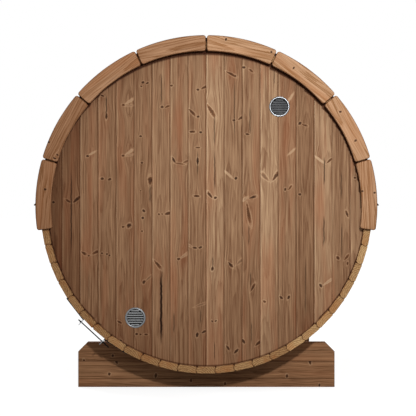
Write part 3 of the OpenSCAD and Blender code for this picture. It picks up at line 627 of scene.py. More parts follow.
def upright_board(left, right, low, high, thick, holes=()):
    """One tongued board between two heights that may follow a curve, its right edge sunk to the joint."""
    board = new_planks()
    start, stop = left + BOARD_PALE_EDGE, right - BOARD_DARK_EDGE
    count = max(2, round((stop - start) / BOARD_CELL))
    columns = ([left, left + BOARD_ARRIS, left + 0.7 * BOARD_PALE_EDGE]
               + [start + (stop - start) * i / count for i in range(count + 1)]
               + [right - BOARD_GROOVE, right])
    rows = round(max(high(x) - low(x) for x in columns) / BOARD_CELL)
    bmesh.ops.create_grid(board, x_segments=len(columns) - 1, y_segments=rows, size=0.5)
    for vert in board.verts:
        column = round((vert.co.x + 0.5) * (len(columns) - 1))
        x = columns[column]
        sunk = {0: BOARD_ARRIS, len(columns) - 1: BOARD_GROOVE}.get(column, 0)
        vert.co = (x, sunk, low(x) + (high(x) - low(x)) * (vert.co.y + 0.5))
    for hole_x, hole_z in holes:
        inside = {v for v in board.verts if math.hypot(v.co.x - hole_x, v.co.z - hole_z) < VENT_HOLE_R}
        cut = [f for f in board.faces if inside.intersection(f.verts)]
        rim = {v for f in cut for v in f.verts} - inside
        bmesh.ops.delete(board, geom=cut, context="FACES")
        for vert in rim:
            if vert.is_valid and left < vert.co.x < right:
                away = Vector((vert.co.x - hole_x, vert.co.z - hole_z)).normalized() * VENT_HOLE_R
                vert.co.x, vert.co.z = hole_x + away.x, hole_z + away.y
    sides = bmesh.ops.extrude_edge_only(board, edges=[e for e in board.edges if e.is_boundary])
    for vert in made_verts(sides["geom"]):
        vert.co.y = thick
    bmesh.ops.edgeloop_fill(board, edges=[e for e in board.edges if e.is_boundary])
    return board


def round_wall(x):
    """Half the height of an end wall at a place across the barrel."""
    return math.sqrt(max(0.0, wall_r ** 2 - x ** 2))


def board_dirt_and_painted_light(left, right):
    """How the tone changes over a board: paler along its left edge, a painted highlight; darker along its
    right edge and in the groove, partly dirt in the joint and partly painted shade; and darker towards
    the ground, painted shade where the light falls off. The dark line round the rim is partly dirt in the
    corner and partly painted shadow under the trim and painted shade by the staves, drawn here because
    the lamps cast it softer, and widest at the upper right."""
    def dirt_and_painted_light(co):
        # The dark rim: partly dirt, partly painted shadow under the trim, widest at the upper right.
        shaded = max(0.0, math.cos(math.atan2(co.z, co.x) - WALL_SHADE_TURN))
        rim_r = WALL_RIM_LOW if co.z < 0 else WALL_RIM_HIGH - WALL_RIM_SHADE * shaded
        if math.hypot(co.x, co.z) > rim_r:
            return WALL_RIM_TONE
        # Darker towards the ground: painted shade.
        low_shade = 1 - WALL_LOW_SHADE * min(1.0, max(0.0, WALL_LOW_SHADE_FROM - co.z) / WALL_LOW_SHADE_DROP)
        # Paler left edge: painted highlight. Darker right edge and groove: dirt in the joint and painted
        # shade.
        if co.x - left < 0.8 * BOARD_PALE_EDGE:
            return low_shade * BOARD_PAINTED_HIGHLIGHT_TONE
        if right - co.x < BOARD_GROOVE / 2:
            return low_shade * BOARD_GROOVE_TONE
        if right - co.x < BOARD_DARK_EDGE / 2:
            return low_shade * BOARD_DIRT_AND_SHADE_TONE
        return low_shade
    return dirt_and_painted_light


# Planed softwood browned right through by heat, with a dull oiled face.
wall_wood = planed_softwood("heat_treated_softwood_board", "#a98463", "#714c34", "#985f40", contrast=1.15)
rng = random.Random("back wall")
bm = new_planks()
place = Matrix.Translation((0, wall_low.y, axis_z))
wall_knots = photo_knots(WALL_KNOTS, place)
wall_splits = []
for x, top, bottom, half_width, dark in WALL_SPLITS:
    x, z, pixel = photo_spot(x, (top + bottom) / 2, place)
    wall_splits.append((x, z, (bottom - top) / 2 * pixel, half_width * pixel, dark))
for index, shade in enumerate(WALL_SHADES):
    left, right = board_sides(index)
    board = upright_board(left, right, lambda x: -round_wall(x), round_wall, wall_thick, vent_holes)
    knots = [k for k in wall_knots if left <= k[0] < right]
    splits = [s for s in wall_splits if left <= s[0] < right]
    lay_plank(bm, board, rng, place, SHADES[shade], board_dirt_and_painted_light(left, right), knots, splits)
make_piece("back_wall_boards", bm, [wall_wood], "wall_wood", "back_wall")

# Front wall: the same boards round a doorway, which takes up the six in the middle but for
# their short pieces over and under the door.
FRONT_BOARDS = (("left", range(0, 6)), ("right", range(12, 18)),
                ("over_door", range(6, 12)), ("under_door", range(6, 12)))
FRONT_KNOTS_TO_A_METRE = 4
FRONT_TONES = (0.85, 1.15)

door_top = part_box("front_wall_over_door")[0].z - axis_z
about_face = Matrix.Rotation(math.pi, 4, "Z")
front_place = Matrix.Translation((0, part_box("front_wall_left")[1].y, axis_z)) @ about_face
for part, boards in FRONT_BOARDS:
    rng = random.Random(f"front wall {part}")
    bm = new_planks()
    low = (lambda x: door_top) if part == "over_door" else (lambda x: -round_wall(x))
    high = (lambda x: -door_top) if part == "under_door" else round_wall
    for index in boards:
        left, right = board_sides(2 * BOARDS_EACH_SIDE - 1 - index)
        bottom, top = low((left + right) / 2), high((left + right) / 2)
        board = upright_board(left, right, low, high, wall_thick)
        count = max(1, round(FRONT_KNOTS_TO_A_METRE * (top - bottom)))
        knots = scattered_knots(rng, count, (left, right), (bottom, top))
        tone = rng.uniform(*FRONT_TONES)
        lay_plank(bm, board, rng, front_place, tone, board_dirt_and_painted_light(left, right), knots)
    make_piece(f"front_wall_boards_{part}", bm, [wall_wood], "wall_wood", f"front_wall_{part}")

# Door frame: four planed bars round the doorway, the jambs full height and the head and sill
# between them. They stand a little proud of the wall and are screwed to the board ends.
FRAME_EASED_EDGE = 0.003
FRAME_TONES = (0.9, 1.1)


def add_box(bm, low, high):
    """A box between two corners, and its vertices."""
    made = bmesh.ops.create_cube(bm, size=1)["verts"]
    bmesh.ops.scale(bm, vec=Vector(high) - Vector(low), verts=made)
    bmesh.ops.translate(bm, vec=(Vector(low) + Vector(high)) / 2, verts=made)
    return made


def door_bar(node):
    """A planed bar that fills a node's box, and its place, with its grain along its longer side."""
    low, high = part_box(node)
    size, middle = high - low, (low + high) / 2
    bar = new_planks()
    half_width, half_length = min(size.x, size.z) / 2, max(size.x, size.z) / 2
    add_box(bar, (-half_width, 0, -half_length), (half_width, size.y, half_length))
    ease_edges(bar, FRAME_EASED_EDGE, 3)
    place = Matrix.Translation((middle.x, high.y, middle.z)) @ about_face
    if size.x > size.z:
        place = place @ Matrix.Rotation(math.pi / 2, 4, "Y")
    return bar, place


# Planed softwood, oiled a shade darker than the wall round it.
door_wood = planed_softwood("oiled_softwood_door", "#9f7854", "#6a4630", "#8d5c3c")
for bar_name in ("jamb_left", "jamb_right", "head", "sill"):
    rng = random.Random(f"door {bar_name}")
    bm = new_planks()
    bar, place = door_bar(f"door_{bar_name}")
    lay_plank(bm, bar, rng, place, rng.uniform(*FRAME_TONES))
    make_piece(f"door_{bar_name}_bar", bm, [door_wood], "door_wood", f"door_{bar_name}")

# Door: upright tongued softwood boards like the wall's, whose joints it carries on, glued edge
# to edge into one leaf.
DOOR_KNOTS = 6
DOOR_TONES = (0.88, 1.12)

door_low, door_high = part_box("door_leaf")
leaf_bottom, leaf_top = door_low.z - axis_z, door_high.z - axis_z
door_edges = [door_low.x, *(count * BOARD_WIDTH for count in range(-2, 3)), door_high.x]
rng = random.Random("door boards")
bm = new_planks()
place = Matrix.Translation((0, door_high.y, axis_z)) @ about_face
for left, right in zip(door_edges, door_edges[1:]):
    board = upright_board(left, right, lambda x: leaf_bottom, lambda x: leaf_top, door_high.y - door_low.y)
    knots = scattered_knots(rng, DOOR_KNOTS, (left, right), (leaf_bottom, leaf_top))
    tone = rng.uniform(*DOOR_TONES)
    lay_plank(bm, board, rng, place, tone, board_dirt_and_painted_light(left, right), knots)
make_piece("door_boards", bm, [door_wood], "door_wood", "door_leaf")

# Door pull: a straight bar of planed softwood on two posts, all with their edges cut off,
# screwed on from the inside of the door.
PULL_BAR = 0.022
PULL_CHAMFER = 0.004
PULL_EASED_END = 0.0015


def pull_rod(length):
    """A square rod with its long edges cut off and its ends eased."""
    rod = new_planks()
    corner = Vector((PULL_BAR, PULL_BAR, length)) / 2
    add_box(rod, -corner, corner)
    long_edges = [e for e in rod.edges if abs(e.verts[0].co.z - e.verts[1].co.z) > length / 2]
    round_edges(rod, long_edges, PULL_CHAMFER, 1)
    end_edges = [e for e in rod.edges if abs(e.verts[0].co.z - e.verts[1].co.z) < length / 2]
    round_edges(rod, end_edges, PULL_EASED_END, 2)
    return rod


# Planed softwood, pale as the trim and worn smooth by hands.
pull_wood = planed_softwood("hand_worn_softwood", "#c69a70", "#93683f", "#b07a4d", roughness=0.45)
pull_low, pull_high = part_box("door_pull")
pull_middle = (pull_low + pull_high) / 2
rng = random.Random("door pull")
bm = new_planks()
bar_y = pull_high.y - PULL_BAR / 2
place = Matrix.Translation((pull_middle.x, bar_y, pull_middle.z))
lay_plank(bm, pull_rod(pull_high.z - pull_low.z), rng, place)
for height in (pull_low.z + PULL_BAR, pull_high.z - PULL_BAR):
    place = (Matrix.Translation((pull_middle.x, (pull_low.y + bar_y) / 2, height))
             @ Matrix.Rotation(math.pi / 2, 4, "X"))
    lay_plank(bm, pull_rod(bar_y - pull_low.y), rng, place)
make_piece("door_pull_bar", bm, [pull_wood], "trim_wood", "door_pull")

# Door hinges: two butt hinges of rolled steel on the right jamb. Each has two leaves held by
# three countersunk screws, and a knuckle of five barrels on a pin.
HINGE_HEIGHT = 0.090
HINGE_THICK = 0.0025
HINGE_CORNER = 0.005
HINGE_PLAY = 0.003
KNUCKLE_R = 0.006
KNUCKLE_BARRELS = 5
KNUCKLE_EASED_RIM = 0.0006
SCREW_R = 0.0042
SCREW_HEIGHT = 0.0012
SCREW_RECESS = 0.0008
SCREW_PLACES = (0.16, 0.5, 0.84)
METAL_GRAINS = 900
METAL_MOTTLES = 35


def metal_finish(name, colour, worn, metallic, roughness):
    """Bare, plated or painted metal: soft mottling about 30 mm wide, paler or darker than the rest, and
    a grain in its gloss of about 1 mm, coarser than a real one, so that it shows."""
    finish, tree, shader = new_finish(name)
    at = add_node(tree, "TexCoord").outputs["Object"]
    cloud = add_node(tree, "TexNoise", {"Vector": at, "Scale": METAL_MOTTLES, "Detail": 3.0})
    cloud_share = add_node(tree, "MapRange", {"Value": cloud, "From Min": 0.35, "From Max": 0.7})
    mixed = add_node(tree, "Mix", {0: cloud_share, 6: linear(colour), 7: linear(worn)}, data_type="RGBA")
    grit = add_node(tree, "TexNoise", {"Vector": at, "Scale": METAL_GRAINS, "Detail": 1.0})
    rough = add_node(tree, "MapRange",
                     {"Value": grit, "To Min": roughness - 0.12, "To Max": roughness + 0.12})
    bump = add_node(tree, "Bump", {"Height": grit, "Strength": 0.1, "Distance": 0.0003})
    feed(tree, shader, {"Base Color": mixed, "Roughness": rough, "Normal": bump, "Metallic": metallic,
                        "Specular IOR Level": 0.5 if metallic else 0.1})
    return finish


def add_cylinder(bm, sides, low_r, high_r, depth, place):
    """A closed cylinder or cone round Z, laid at a place, and its vertices."""
    return bmesh.ops.create_cone(bm, cap_ends=True, segments=sides, radius1=low_r, radius2=high_r,
                                 depth=depth, matrix=place)["verts"]


def edges_along(verts, axis):
    """The edges between these vertices that run along one axis."""
    edges = {e for v in verts for e in v.link_edges if e.other_vert(v) in set(verts)}
    return [e for e in edges if (e.verts[0].co - e.verts[1].co).normalized()[axis] ** 2 > 0.99]


# Zinc-plated rolled steel: a soft grey shine with fine rolling grain.
zinc = metal_finish("zinc_plated_steel", "#95979a", "#7b7e81", 1.0, 0.36)
hinge_low, hinge_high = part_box("door_hinges")
hinge_x = (hinge_low.x + hinge_high.x) / 2
bm = bmesh.new()
for bottom in (hinge_low.z, hinge_high.z - HINGE_HEIGHT):
    for side, outer in ((-1, hinge_low.x), (1, hinge_high.x)):
        inner = hinge_x + side * HINGE_PLAY / 2
        front = hinge_low.y + HINGE_THICK
        leaf = add_box(bm, (min(inner, outer), hinge_low.y, bottom),
                       (max(inner, outer), front, bottom + HINGE_HEIGHT))
        corners = [e for e in edges_along(leaf, 1) if abs(e.verts[0].co.x - outer) < 1e-5]
        round_edges(bm, corners, HINGE_CORNER, 4)
        for share in SCREW_PLACES:
            place = Matrix.Translation(((inner + 2 * outer) / 3, front, bottom + share * HINGE_HEIGHT))
            upright = place @ Matrix.Rotation(-math.pi / 2, 4, "X")
            head = add_cylinder(bm, 16, SCREW_R, 0.8 * SCREW_R, SCREW_HEIGHT, upright)
            faces = {f for v in head for f in v.link_faces}
            top = max(faces, key=lambda f: f.calc_center_median().y)
            bmesh.ops.inset_individual(bm, faces=[top], thickness=SCREW_R * 0.35)
            bmesh.ops.translate(bm, vec=(0, -SCREW_RECESS, 0), verts=top.verts[:])
    barrel = HINGE_HEIGHT / KNUCKLE_BARRELS
    for index in range(KNUCKLE_BARRELS):
        place = Matrix.Translation((hinge_x, hinge_high.y - KNUCKLE_R, bottom + (index + 0.5) * barrel))
        tube = add_cylinder(bm, 24, KNUCKLE_R, KNUCKLE_R, barrel, place)
        edges = {e for v in tube for e in v.link_edges}
        rims = [e for e in edges if abs(e.verts[0].co.z - e.verts[1].co.z) < 1e-6]
        round_edges(bm, rims, KNUCKLE_EASED_RIM, 2)
make_piece("door_butt_hinges", bm, [zinc], "steel", "door_hinges")

# Trim: arched boards sawn from straight planks and screwed to the stave ends over the upper
# half of each end, with rounded corners and small gaps between neighbours.
TRIM_COUNT = 8
TRIM_DROP = math.radians(8.4)
TRIM_RISE = 0.009
TRIM_WIDTH = 0.093
TRIM_GAP = 0.006
TRIM_CORNER = 0.015
TRIM_EASED_EDGE = 0.005
TRIM_STEPS = 18
# The darker outer edge and ends of each trim board are partly dirt and partly painted shade in the gaps
# between boards.
TRIM_DARK_EDGE_TONE = 0.34
FRONT_TRIM_KNOTS = 2
FRONT_TRIM_KNOT_REACH = 0.18
FRONT_TRIM_TONES = (0.85, 1.15)
# The dark boards at the left are partly the wood's own tone and partly painted shade, darker on the side away
# from the light.
TRIM_SHADES = ("brown", "mid", "mid", "mid", "umber", "umber", "dark", "dark")
TRIM_KNOTS = (  # photo x and y, half length and half width in pixels, slant, taper, darkness
    (226, 39.4, 1.4, 1.1, 0, 0, 0.85), (271.3, 52, 1.3, 1.1, 0, 0, 0.85),
    (293.7, 68, 1.4, 1.0, 0, 0, 0.8), (340.3, 111.8, 1.4, 1.1, 0, 0, 0.7),
    (355.6, 140.6, 1.4, 1.1, 0, 0, 0.7), (362, 191.2, 1.4, 1.0, 0, 0, 0.9),
    (374.6, 192.7, 1.2, 1.0, 0, 0, 0.9), (45.2, 189.3, 1.3, 1.1, 0, 0, 0.85),
    (48.7, 142, 1.3, 1.0, 0, 0, 0.85), (54.6, 158.2, 1.6, 1.0, 0, 0, 0.8),
    (57.4, 154.8, 1.2, 0.9, 0, 0, 0.7),
)

trim_low, trim_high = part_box("back_trim_1")
trim_out = trim_high.x
trim_in = trim_out - TRIM_WIDTH
trim_thick = trim_high.y - trim_low.y
trim_span = (math.pi + 2 * TRIM_DROP) / TRIM_COUNT
trim_half = trim_span / 2 - TRIM_GAP / (trim_out + trim_in)


def trim_board():
    """One arched board: its section swept along the arc, corners rounded and show edges eased."""
    board = new_planks()
    start = [board.verts.new((r * math.cos(trim_half), y, -r * math.sin(trim_half)))
             for r, y in ((trim_in, 0), (trim_out, 0), (trim_out, trim_thick), (trim_in, trim_thick))]
    section = board.faces.new(start)
    wide = [e for e in section.edges if e.calc_length() > trim_thick * 1.5]
    bmesh.ops.subdivide_edges(board, edges=wide, cuts=3, use_grid_fill=True)
    bmesh.ops.spin(board, geom=board.verts[:] + board.edges[:] + board.faces[:], cent=(0, 0, 0),
                   axis=(0, -1, 0), angle=2 * trim_half, steps=TRIM_STEPS, use_duplicate=False)
    bmesh.ops.recalc_face_normals(board, faces=board.faces[:])
    corners = []
    for edge in board.edges:
        a, b = edge.verts
        if abs(a.co.y - b.co.y) > trim_thick / 2:
            r, turn = math.hypot(a.co.x, a.co.z), abs(math.atan2(a.co.z, a.co.x))
            if turn > trim_half - 1e-4 and min(abs(r - trim_in), abs(r - trim_out)) < 1e-4:
                corners.append(edge)
    round_edges(board, corners, TRIM_CORNER, 5)
    ease_edges(board, TRIM_EASED_EDGE, 3)
    return board


def trim_dirt_and_shade(co):
    """How dark a trim board is along its outer edge and at its ends: partly dirt, partly painted shade where
    the gaps between boards lie.
    """
    r = math.hypot(co.x, co.z)
    from_end = (trim_half - abs(math.atan2(co.z, co.x))) * r
    return TRIM_DARK_EDGE_TONE if min(trim_out - r, from_end) < 0.8 * TRIM_EASED_EDGE else 1.0


# Planed softwood, a pale honey brown with open flames. Its rings are drawn 9 mm apart, coarser than
# real ones, so that they show.
trim_wood = planed_softwood("planed_softwood_trim", "#cba07c", "#946741", "#b5794e", ring=0.009,
                            contrast=1.3, roughness=0.55, figure=(0.6, 0.9, 1.2))
for end in ("back", "front"):
    for index in range(TRIM_COUNT):
        rng = random.Random(f"{end} trim {index}")
        bm = new_planks()
        angle = -TRIM_DROP + (index + 0.5) * trim_span
        place = Matrix.Translation((0, trim_low.y, axis_z + TRIM_RISE)) @ Matrix.Rotation(-angle, 4, "Y")
        if end == "back":
            number = index + 1
            tone = SHADES[TRIM_SHADES[index]]
            knots = [k for k in photo_knots(TRIM_KNOTS, place) if abs(math.atan2(k[1], k[0])) < trim_half]
        else:
            number = TRIM_COUNT - index
            along = (-FRONT_TRIM_KNOT_REACH, FRONT_TRIM_KNOT_REACH)
            knots = scattered_knots(rng, FRONT_TRIM_KNOTS, (trim_in, trim_out), along)
            tone = rng.uniform(*FRONT_TRIM_TONES)
            place = about_face @ place
        lay_plank(bm, trim_board(), rng, place, tone, trim_dirt_and_shade, knots)
        make_piece(f"{end}_trim_board_{number}", bm, [trim_wood], "trim_wood", f"{end}_trim_{number}")

# Hoops: a band of steel strap round each end of the barrel, which lies flat on every stave and
# draws the joints shut.
HOOP_WIDTH = 0.030

# Black-painted steel strap, a little worn and dusty.
strap = metal_finish("black_painted_strap", "#232323", "#343332", 0.0, 0.5)


def finish_node(node, finish):
    """Gives a finish to a CAD node that is good as it is."""
    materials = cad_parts[node].data.materials
    materials.clear()
    materials.append(finish)


for node in ("back_hoop", "front_hoop"):
    finish_node(node, strap)

# Lugs: an angle of steel at each end of a hoop. Its foot is welded flat to the strap, and the rod
# goes through its upright.
ROD_ANGLE = math.radians(227.3)
ROD_RISE = 0.026
LUG_GAP = 0.168
LUG_FOOT = 0.165
LUG_FOOT_R = 0.9979
LUG_FOOT_THICK = 0.006
LUG_TIP = 0.024
LUG_THICK = 0.004
LUG_CORNER = 0.008

rod_r = stave_out + ROD_RISE
lug_turn = math.asin((LUG_GAP + LUG_FOOT) / 2 / LUG_FOOT_R)
rod_places = {}
for end in ("back", "front"):
    low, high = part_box(f"{end}_hoop")
    hoop_y = (low.y + high.y) / 2
    outward = Vector((math.cos(ROD_ANGLE), 0, math.sin(ROD_ANGLE)))
    along = Vector((math.sin(ROD_ANGLE), 0, -math.cos(ROD_ANGLE)))
    at_rod = Matrix.Translation((0, hoop_y, axis_z)) @ Matrix(
        (along, outward, along.cross(outward))).transposed().to_4x4()
    bm = bmesh.new()
    for side in (-1, 1):
        foot = add_box(bm, (-LUG_FOOT / 2, LUG_FOOT_R, -HOOP_WIDTH / 2),
                       (LUG_FOOT / 2, LUG_FOOT_R + LUG_FOOT_THICK, HOOP_WIDTH / 2))
        bmesh.ops.rotate(bm, verts=foot, cent=(0, 0, 0), matrix=Matrix.Rotation(-side * lug_turn, 3, "Z"))
        for face in {f for v in foot for f in v.link_faces}:
            face.material_index = 1
        root_y = LUG_FOOT_R * math.cos(lug_turn) + LUG_FOOT / 2 * math.sin(lug_turn)
        near = side * LUG_GAP / 2
        upright = add_box(bm, (min(near, near + side * LUG_THICK), root_y, -HOOP_WIDTH / 2),
                          (max(near, near + side * LUG_THICK), rod_r + LUG_TIP, HOOP_WIDTH / 2))
        corners = [e for e in edges_along(upright, 0) if e.verts[0].co.y > rod_r]
        round_edges(bm, corners, LUG_CORNER, 4)
    bmesh.ops.transform(bm, matrix=at_rod, verts=bm.verts[:])
    bmesh.ops.recalc_face_normals(bm, faces=bm.faces[:])
    rod_places[end] = at_rod
    make_piece(f"{end}_hoop_angles", bm, [zinc, strap], "steel", f"{end}_hoop_lugs")

# Tension rods: a length of threaded rod through each hoop's lugs, with a hexagon nut outside
# each lug that is turned to draw the hoop tight.
ROD_R = 0.004
ROD_CORE_R = 0.0034
ROD_LENGTH = 0.259
ROD_SHIFT = 0.015
THREAD_PITCH = 0.00125
THREAD_STEPS = 10
THREAD_BLOCK = 9
NUT_R = 0.0074
NUT_HEIGHT = 0.0064
NUT_GAP = 0.0003
NUT_EASED_EDGE = 0.0006

# Black-oxide steel: dark and oily, with little shine.
black_steel = metal_finish("black_oxide_steel", "#080808", "#0d0d0d", 0.0, 0.8)
for end, at_rod in rod_places.items():
    bm = bmesh.new()
    blocks = int((ROD_LENGTH / THREAD_PITCH - 1) / THREAD_BLOCK)
    first = -ROD_SHIFT - (blocks * THREAD_BLOCK + 1) * THREAD_PITCH / 2
    flank = [bm.verts.new((first + share * THREAD_PITCH, r, 0)) for share, r in
             ((0, ROD_CORE_R), (0.4, ROD_R), (0.6, ROD_R), (1, ROD_CORE_R))]
    flank += [bm.edges.new(pair) for pair in zip(flank, flank[1:])]
    bmesh.ops.spin(bm, geom=flank, cent=(0, 0, 0), axis=(1, 0, 0), angle=2 * math.pi * THREAD_BLOCK,
                   dvec=(THREAD_PITCH / THREAD_STEPS, 0, 0), steps=THREAD_BLOCK * THREAD_STEPS,
                   use_duplicate=False)
    spun = bm.verts[:] + bm.edges[:] + bm.faces[:]
    for block in range(1, blocks):
        copied = bmesh.ops.duplicate(bm, geom=spun)["geom"]
        bmesh.ops.translate(bm, vec=(block * THREAD_BLOCK * THREAD_PITCH, 0, 0), verts=made_verts(copied))
    bmesh.ops.remove_doubles(bm, verts=bm.verts[:], dist=THREAD_PITCH / 50)
    bmesh.ops.holes_fill(bm, edges=[e for e in bm.edges if e.is_boundary], sides=0)
    bmesh.ops.recalc_face_normals(bm, faces=bm.faces[:])
    for side in (-1, 1):
        nut_x = side * (LUG_GAP / 2 + LUG_THICK + NUT_GAP + NUT_HEIGHT / 2)
        place = Matrix.Translation((nut_x, 0, 0)) @ Matrix.Rotation(math.pi / 2, 4, "Y")
        nut = add_cylinder(bm, 6, NUT_R, NUT_R, NUT_HEIGHT, place)
        round_edges(bm, {e for v in nut for e in v.link_edges}, NUT_EASED_EDGE, 2)
    bmesh.ops.translate(bm, vec=(0, rod_r, 0), verts=bm.verts[:])
    bmesh.ops.transform(bm, matrix=at_rod, verts=bm.verts[:])
    make_piece(f"{end}_threaded_rod", bm, [black_steel], "steel", f"{end}_tension_rod")

# Roof: strips of black mineral-faced felt laid along the upper half from the eaves up, each
# lapped by the one above, with one more along the ridge and a lip along each eave.
FELT_GRANULE = 0.004

# Bitumen felt faced with crushed slate: charcoal granules, dull, with a few that glint. The granules
# are drawn 4 mm across, four times as coarse as real ones, so that they show.
felt, tree, shader = new_finish("mineral_faced_bitumen_felt")
at = add_node(tree, "TexCoord").outputs["Object"]
granule = add_node(tree, "TexVoronoi", {"Vector": at, "Scale": 1 / FELT_GRANULE})
granule_shade = add_node(tree, "SeparateColor", {0: granule.outputs["Color"]})
cloud = add_node(tree, "TexNoise", {"Vector": at, "Scale": 3.0, "Detail": 4.0})
speckled = add_node(tree, "Mix",
                    {0: granule_shade, 6: linear("#1f1e1d"), 7: linear("#3d3b39")}, data_type="RGBA")
dusty_share = add_node(tree, "MapRange", {"Value": cloud, "From Min": 0.45, "From Max": 0.8, "To Max": 0.5})
dusty = add_node(tree, "Mix", {0: dusty_share, 6: speckled, 7: linear("#494643")}, data_type="RGBA")
sparkle = add_node(tree, "MapRange", {"Value": granule_shade.outputs[1], "To Min": 0.95, "To Max": 0.6})
bump = add_node(tree, "Bump",
                {"Height": granule.outputs["Distance"], "Strength": 0.5, "Distance": 0.001}, invert=True)
feed(tree, shader, {"Base Color": dusty, "Roughness": sparkle, "Normal": bump, "Specular IOR Level": 0.12})
finish_node("roof_felt", felt)

# Vents: round air vents of pressed aluminium, pushed into holes between two boards. A rolled rim
# covers the edge of the hole, a sleeve goes into the wall, and seven louvres cross the sleeve.
VENT_R = 0.062
VENT_EDGE = 0.0022
VENT_RIM_IN = 0.0525
VENT_BORE = 0.050
VENT_SLEEVE = 0.032
VENT_PROUD = 0.004
LOUVRE_PITCH = 0.014
LOUVRE_ROWS = 3
LOUVRE_THICK = 0.0012
LOUVRE_PLAY = 0.002
VENT_SHEET = 0.002
VENT_SECTION = (  # radius and depth round the section of the sleeve and rim
    (VENT_BORE, VENT_SLEEVE), (VENT_BORE + VENT_SHEET, VENT_SLEEVE), (VENT_BORE + VENT_SHEET, 0), (VENT_R, 0),
    (VENT_R - 0.0008, -0.3 * VENT_PROUD), (VENT_R - VENT_EDGE, -0.8 * VENT_PROUD),
    (VENT_R - VENT_EDGE - 0.0015, -VENT_PROUD), (VENT_RIM_IN + 0.002, -VENT_PROUD),
    (VENT_RIM_IN + 0.0005, -0.8 * VENT_PROUD), (VENT_RIM_IN, -0.3 * VENT_PROUD), (VENT_BORE, 0.001),
)
# The bore colours are painted shade in the bore and a painted shadow line round the rim's outer edge.
VENTS = (  # name, slot, rim, louvre and bore colours, and a louvre's section as depth and height
    ("upper_vent", "vent_bright", ("#808285", "#707376"), ("#666769", "#555658"), ("#3c3c3d", "#303031"),
     ((0.001, -0.0062), (0.011, 0.0062))),
    ("lower_vent", "vent_grey", ("#77797b", "#6a6d70"), ("#8a8b8c", "#767879"), ("#747576", "#666768"),
     ((0.011, -0.003), (0.002, 0.0028), (0.001, 0.0028), (0.001, -0.0030))),
)

for name, slot, rim_colours, louvre_colours, shaded_bore_colours, section in VENTS:
    low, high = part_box(name)
    bm = bmesh.new()
    rim = [bm.verts.new((r, y, 0)) for r, y in VENT_SECTION]
    loop = [bm.edges.new(pair) for pair in zip(rim, rim[1:] + rim[:1])]
    bmesh.ops.spin(bm, geom=rim + loop, cent=(0, 0, 0), axis=(0, 1, 0), angle=2 * math.pi, steps=72,
                   use_merge=True, use_duplicate=False)
    bmesh.ops.remove_doubles(bm, verts=bm.verts[:], dist=1e-6)
    bmesh.ops.recalc_face_normals(bm, faces=bm.faces[:])
    # The bore and the rim's outer edge take the dark finish: painted shade in the bore, a painted shadow line
    # round the rim.
    for face in bm.faces:
        nearest = min(math.hypot(v.co.x, v.co.z) for v in face.verts)
        if nearest < VENT_RIM_IN - 0.001 or nearest > VENT_R - 1.1 * VENT_EDGE:
            face.material_index = 2
    for row in range(-LOUVRE_ROWS, LOUVRE_ROWS + 1):
        height = row * LOUVRE_PITCH
        half = math.sqrt(VENT_BORE ** 2 - (abs(height) + LOUVRE_PLAY) ** 2)
        line = [bm.verts.new((-half, depth, height + z)) for depth, z in section]
        edges = [bm.edges.new(pair) for pair in zip(line, line[1:])]
        drawn = bmesh.ops.extrude_edge_only(bm, edges=edges)["geom"]
        bmesh.ops.translate(bm, vec=(2 * half, 0, 0), verts=made_verts(drawn))
        plate = [g for g in drawn if isinstance(g, bmesh.types.BMFace)]
        for face in plate:
            face.material_index = 1
        bmesh.ops.solidify(bm, geom=plate, thickness=LOUVRE_THICK)
    bmesh.ops.translate(bm, vec=((low.x + high.x) / 2, wall_low.y, (low.z + high.z) / 2), verts=bm.verts[:])
    # Satin aluminium: a bright even grey. The louvres are lacquered, and the bore and the rim's outer edge
    # are darker, painted shade.
    satin = metal_finish(f"satin_aluminium_{name}", *rim_colours, 1.0, 0.35)
    lacquer = metal_finish(f"lacquered_aluminium_{name}", *louvre_colours, 0.2, 0.55)
    painted_shade_finish = metal_finish(f"shaded_aluminium_{name}", *shaded_bore_colours, 0.0, 0.8)
    make_piece(f"{name}_grille", bm, [satin, lacquer, painted_shade_finish], slot, name)

# Studio: a pale floor that keeps the shadow, white all round, a soft lamp high on the right of
# the camera, and two weaker ones for the sides and the door end, at a level where colours show as they are.
FLOOR_R = 120
FLOOR_GLOW = 0.87
FILL = 0.52
KEY_PLACE = Vector((1.0, -6.2, 2.8))
KEY_AIM = Vector((0.32, -1.2, 1.5))
KEY_WATTS = 760
KEY_CONE = math.radians(50)
KEY_R = 0.12
WEAK_LAMPS = (  # name, where it shines from, strength
    ("side", (0.9, 0.35, 0.35), 1.8), ("back", (-0.5, 0.72, 0.48), 2.4),
)
WEAK_LAMP_SPREAD = math.radians(20)


def seen_rays(tree):
    """Adds a value that is 1 where the camera sees a surface, by itself, in gloss or through glass."""
    path = add_node(tree, "LightPath")
    seen = add_node(tree, "Math",
                    {0: path.outputs["Is Camera Ray"], 1: path.outputs["Is Glossy Ray"]}, operation="MAXIMUM")
    return add_node(tree, "Math",
                    {0: seen, 1: path.outputs["Is Transmission Ray"]}, operation="MAXIMUM")


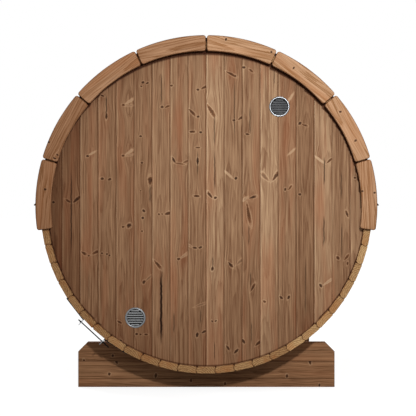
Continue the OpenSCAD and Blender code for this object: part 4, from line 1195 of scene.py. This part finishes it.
floor_mesh = bmesh.new()
bmesh.ops.create_circle(floor_mesh, cap_ends=True, radius=FLOOR_R, segments=64)
mesh = bpy.data.meshes.new("floor")
floor_mesh.to_mesh(mesh)
floor_mesh.free()
floor = bpy.data.objects.new("floor", mesh)
bpy.context.scene.collection.objects.link(floor)

paper, tree, _ = new_finish("matt_paper")
tree.nodes.clear()
glow = add_node(tree, "Math", {0: seen_rays(tree), 1: FLOOR_GLOW}, operation="MULTIPLY")
matt = add_node(tree, "BsdfDiffuse", {"Color": linear("#7d7d7d")})
white = add_node(tree, "Emission", {"Color": linear("#ffffff"), "Strength": glow})
both = add_node(tree, "AddShader", {0: matt, 1: white})
add_node(tree, "OutputMaterial", {"Surface": both})
mesh.materials.append(paper)

world = bpy.data.worlds.new("white studio")
bpy.context.scene.world = world
world.use_nodes = True
tree = world.node_tree
tree.nodes.clear()
level = add_node(tree, "MapRange", {"Value": seen_rays(tree), "To Min": FILL, "To Max": 1.0})
sky = add_node(tree, "Background", {"Color": linear("#ffffff"), "Strength": level})
add_node(tree, "OutputWorld", {"Surface": sky})

lamp = bpy.data.lights.new("key", "SPOT")
lamp.spot_size = KEY_CONE
lamp.spot_blend = 1.0
lamp.shadow_soft_size = KEY_R
lamp.energy = KEY_WATTS
light = bpy.data.objects.new("key", lamp)
light.location = KEY_PLACE
light.rotation_euler = (KEY_PLACE - KEY_AIM).to_track_quat("Z", "Y").to_euler()
bpy.context.scene.collection.objects.link(light)
for name, towards, strength in WEAK_LAMPS:
    lamp = bpy.data.lights.new(name, "SUN")
    lamp.energy = strength
    lamp.angle = WEAK_LAMP_SPREAD
    light = bpy.data.objects.new(name, lamp)
    light.rotation_euler = Vector(towards).to_track_quat("Z", "Y").to_euler()
    bpy.context.scene.collection.objects.link(light)

lens = bpy.data.cameras.new("camera")
lens.sensor_width = 36
lens.lens = lens.sensor_width / VIEW_SPREAD
camera = bpy.data.objects.new("camera", lens)
camera.location = EYE
camera.rotation_euler = (math.pi / 2, 0, 0)
bpy.context.scene.collection.objects.link(camera)
bpy.context.scene.camera = camera
bpy.context.scene.view_settings.view_transform = "Standard"
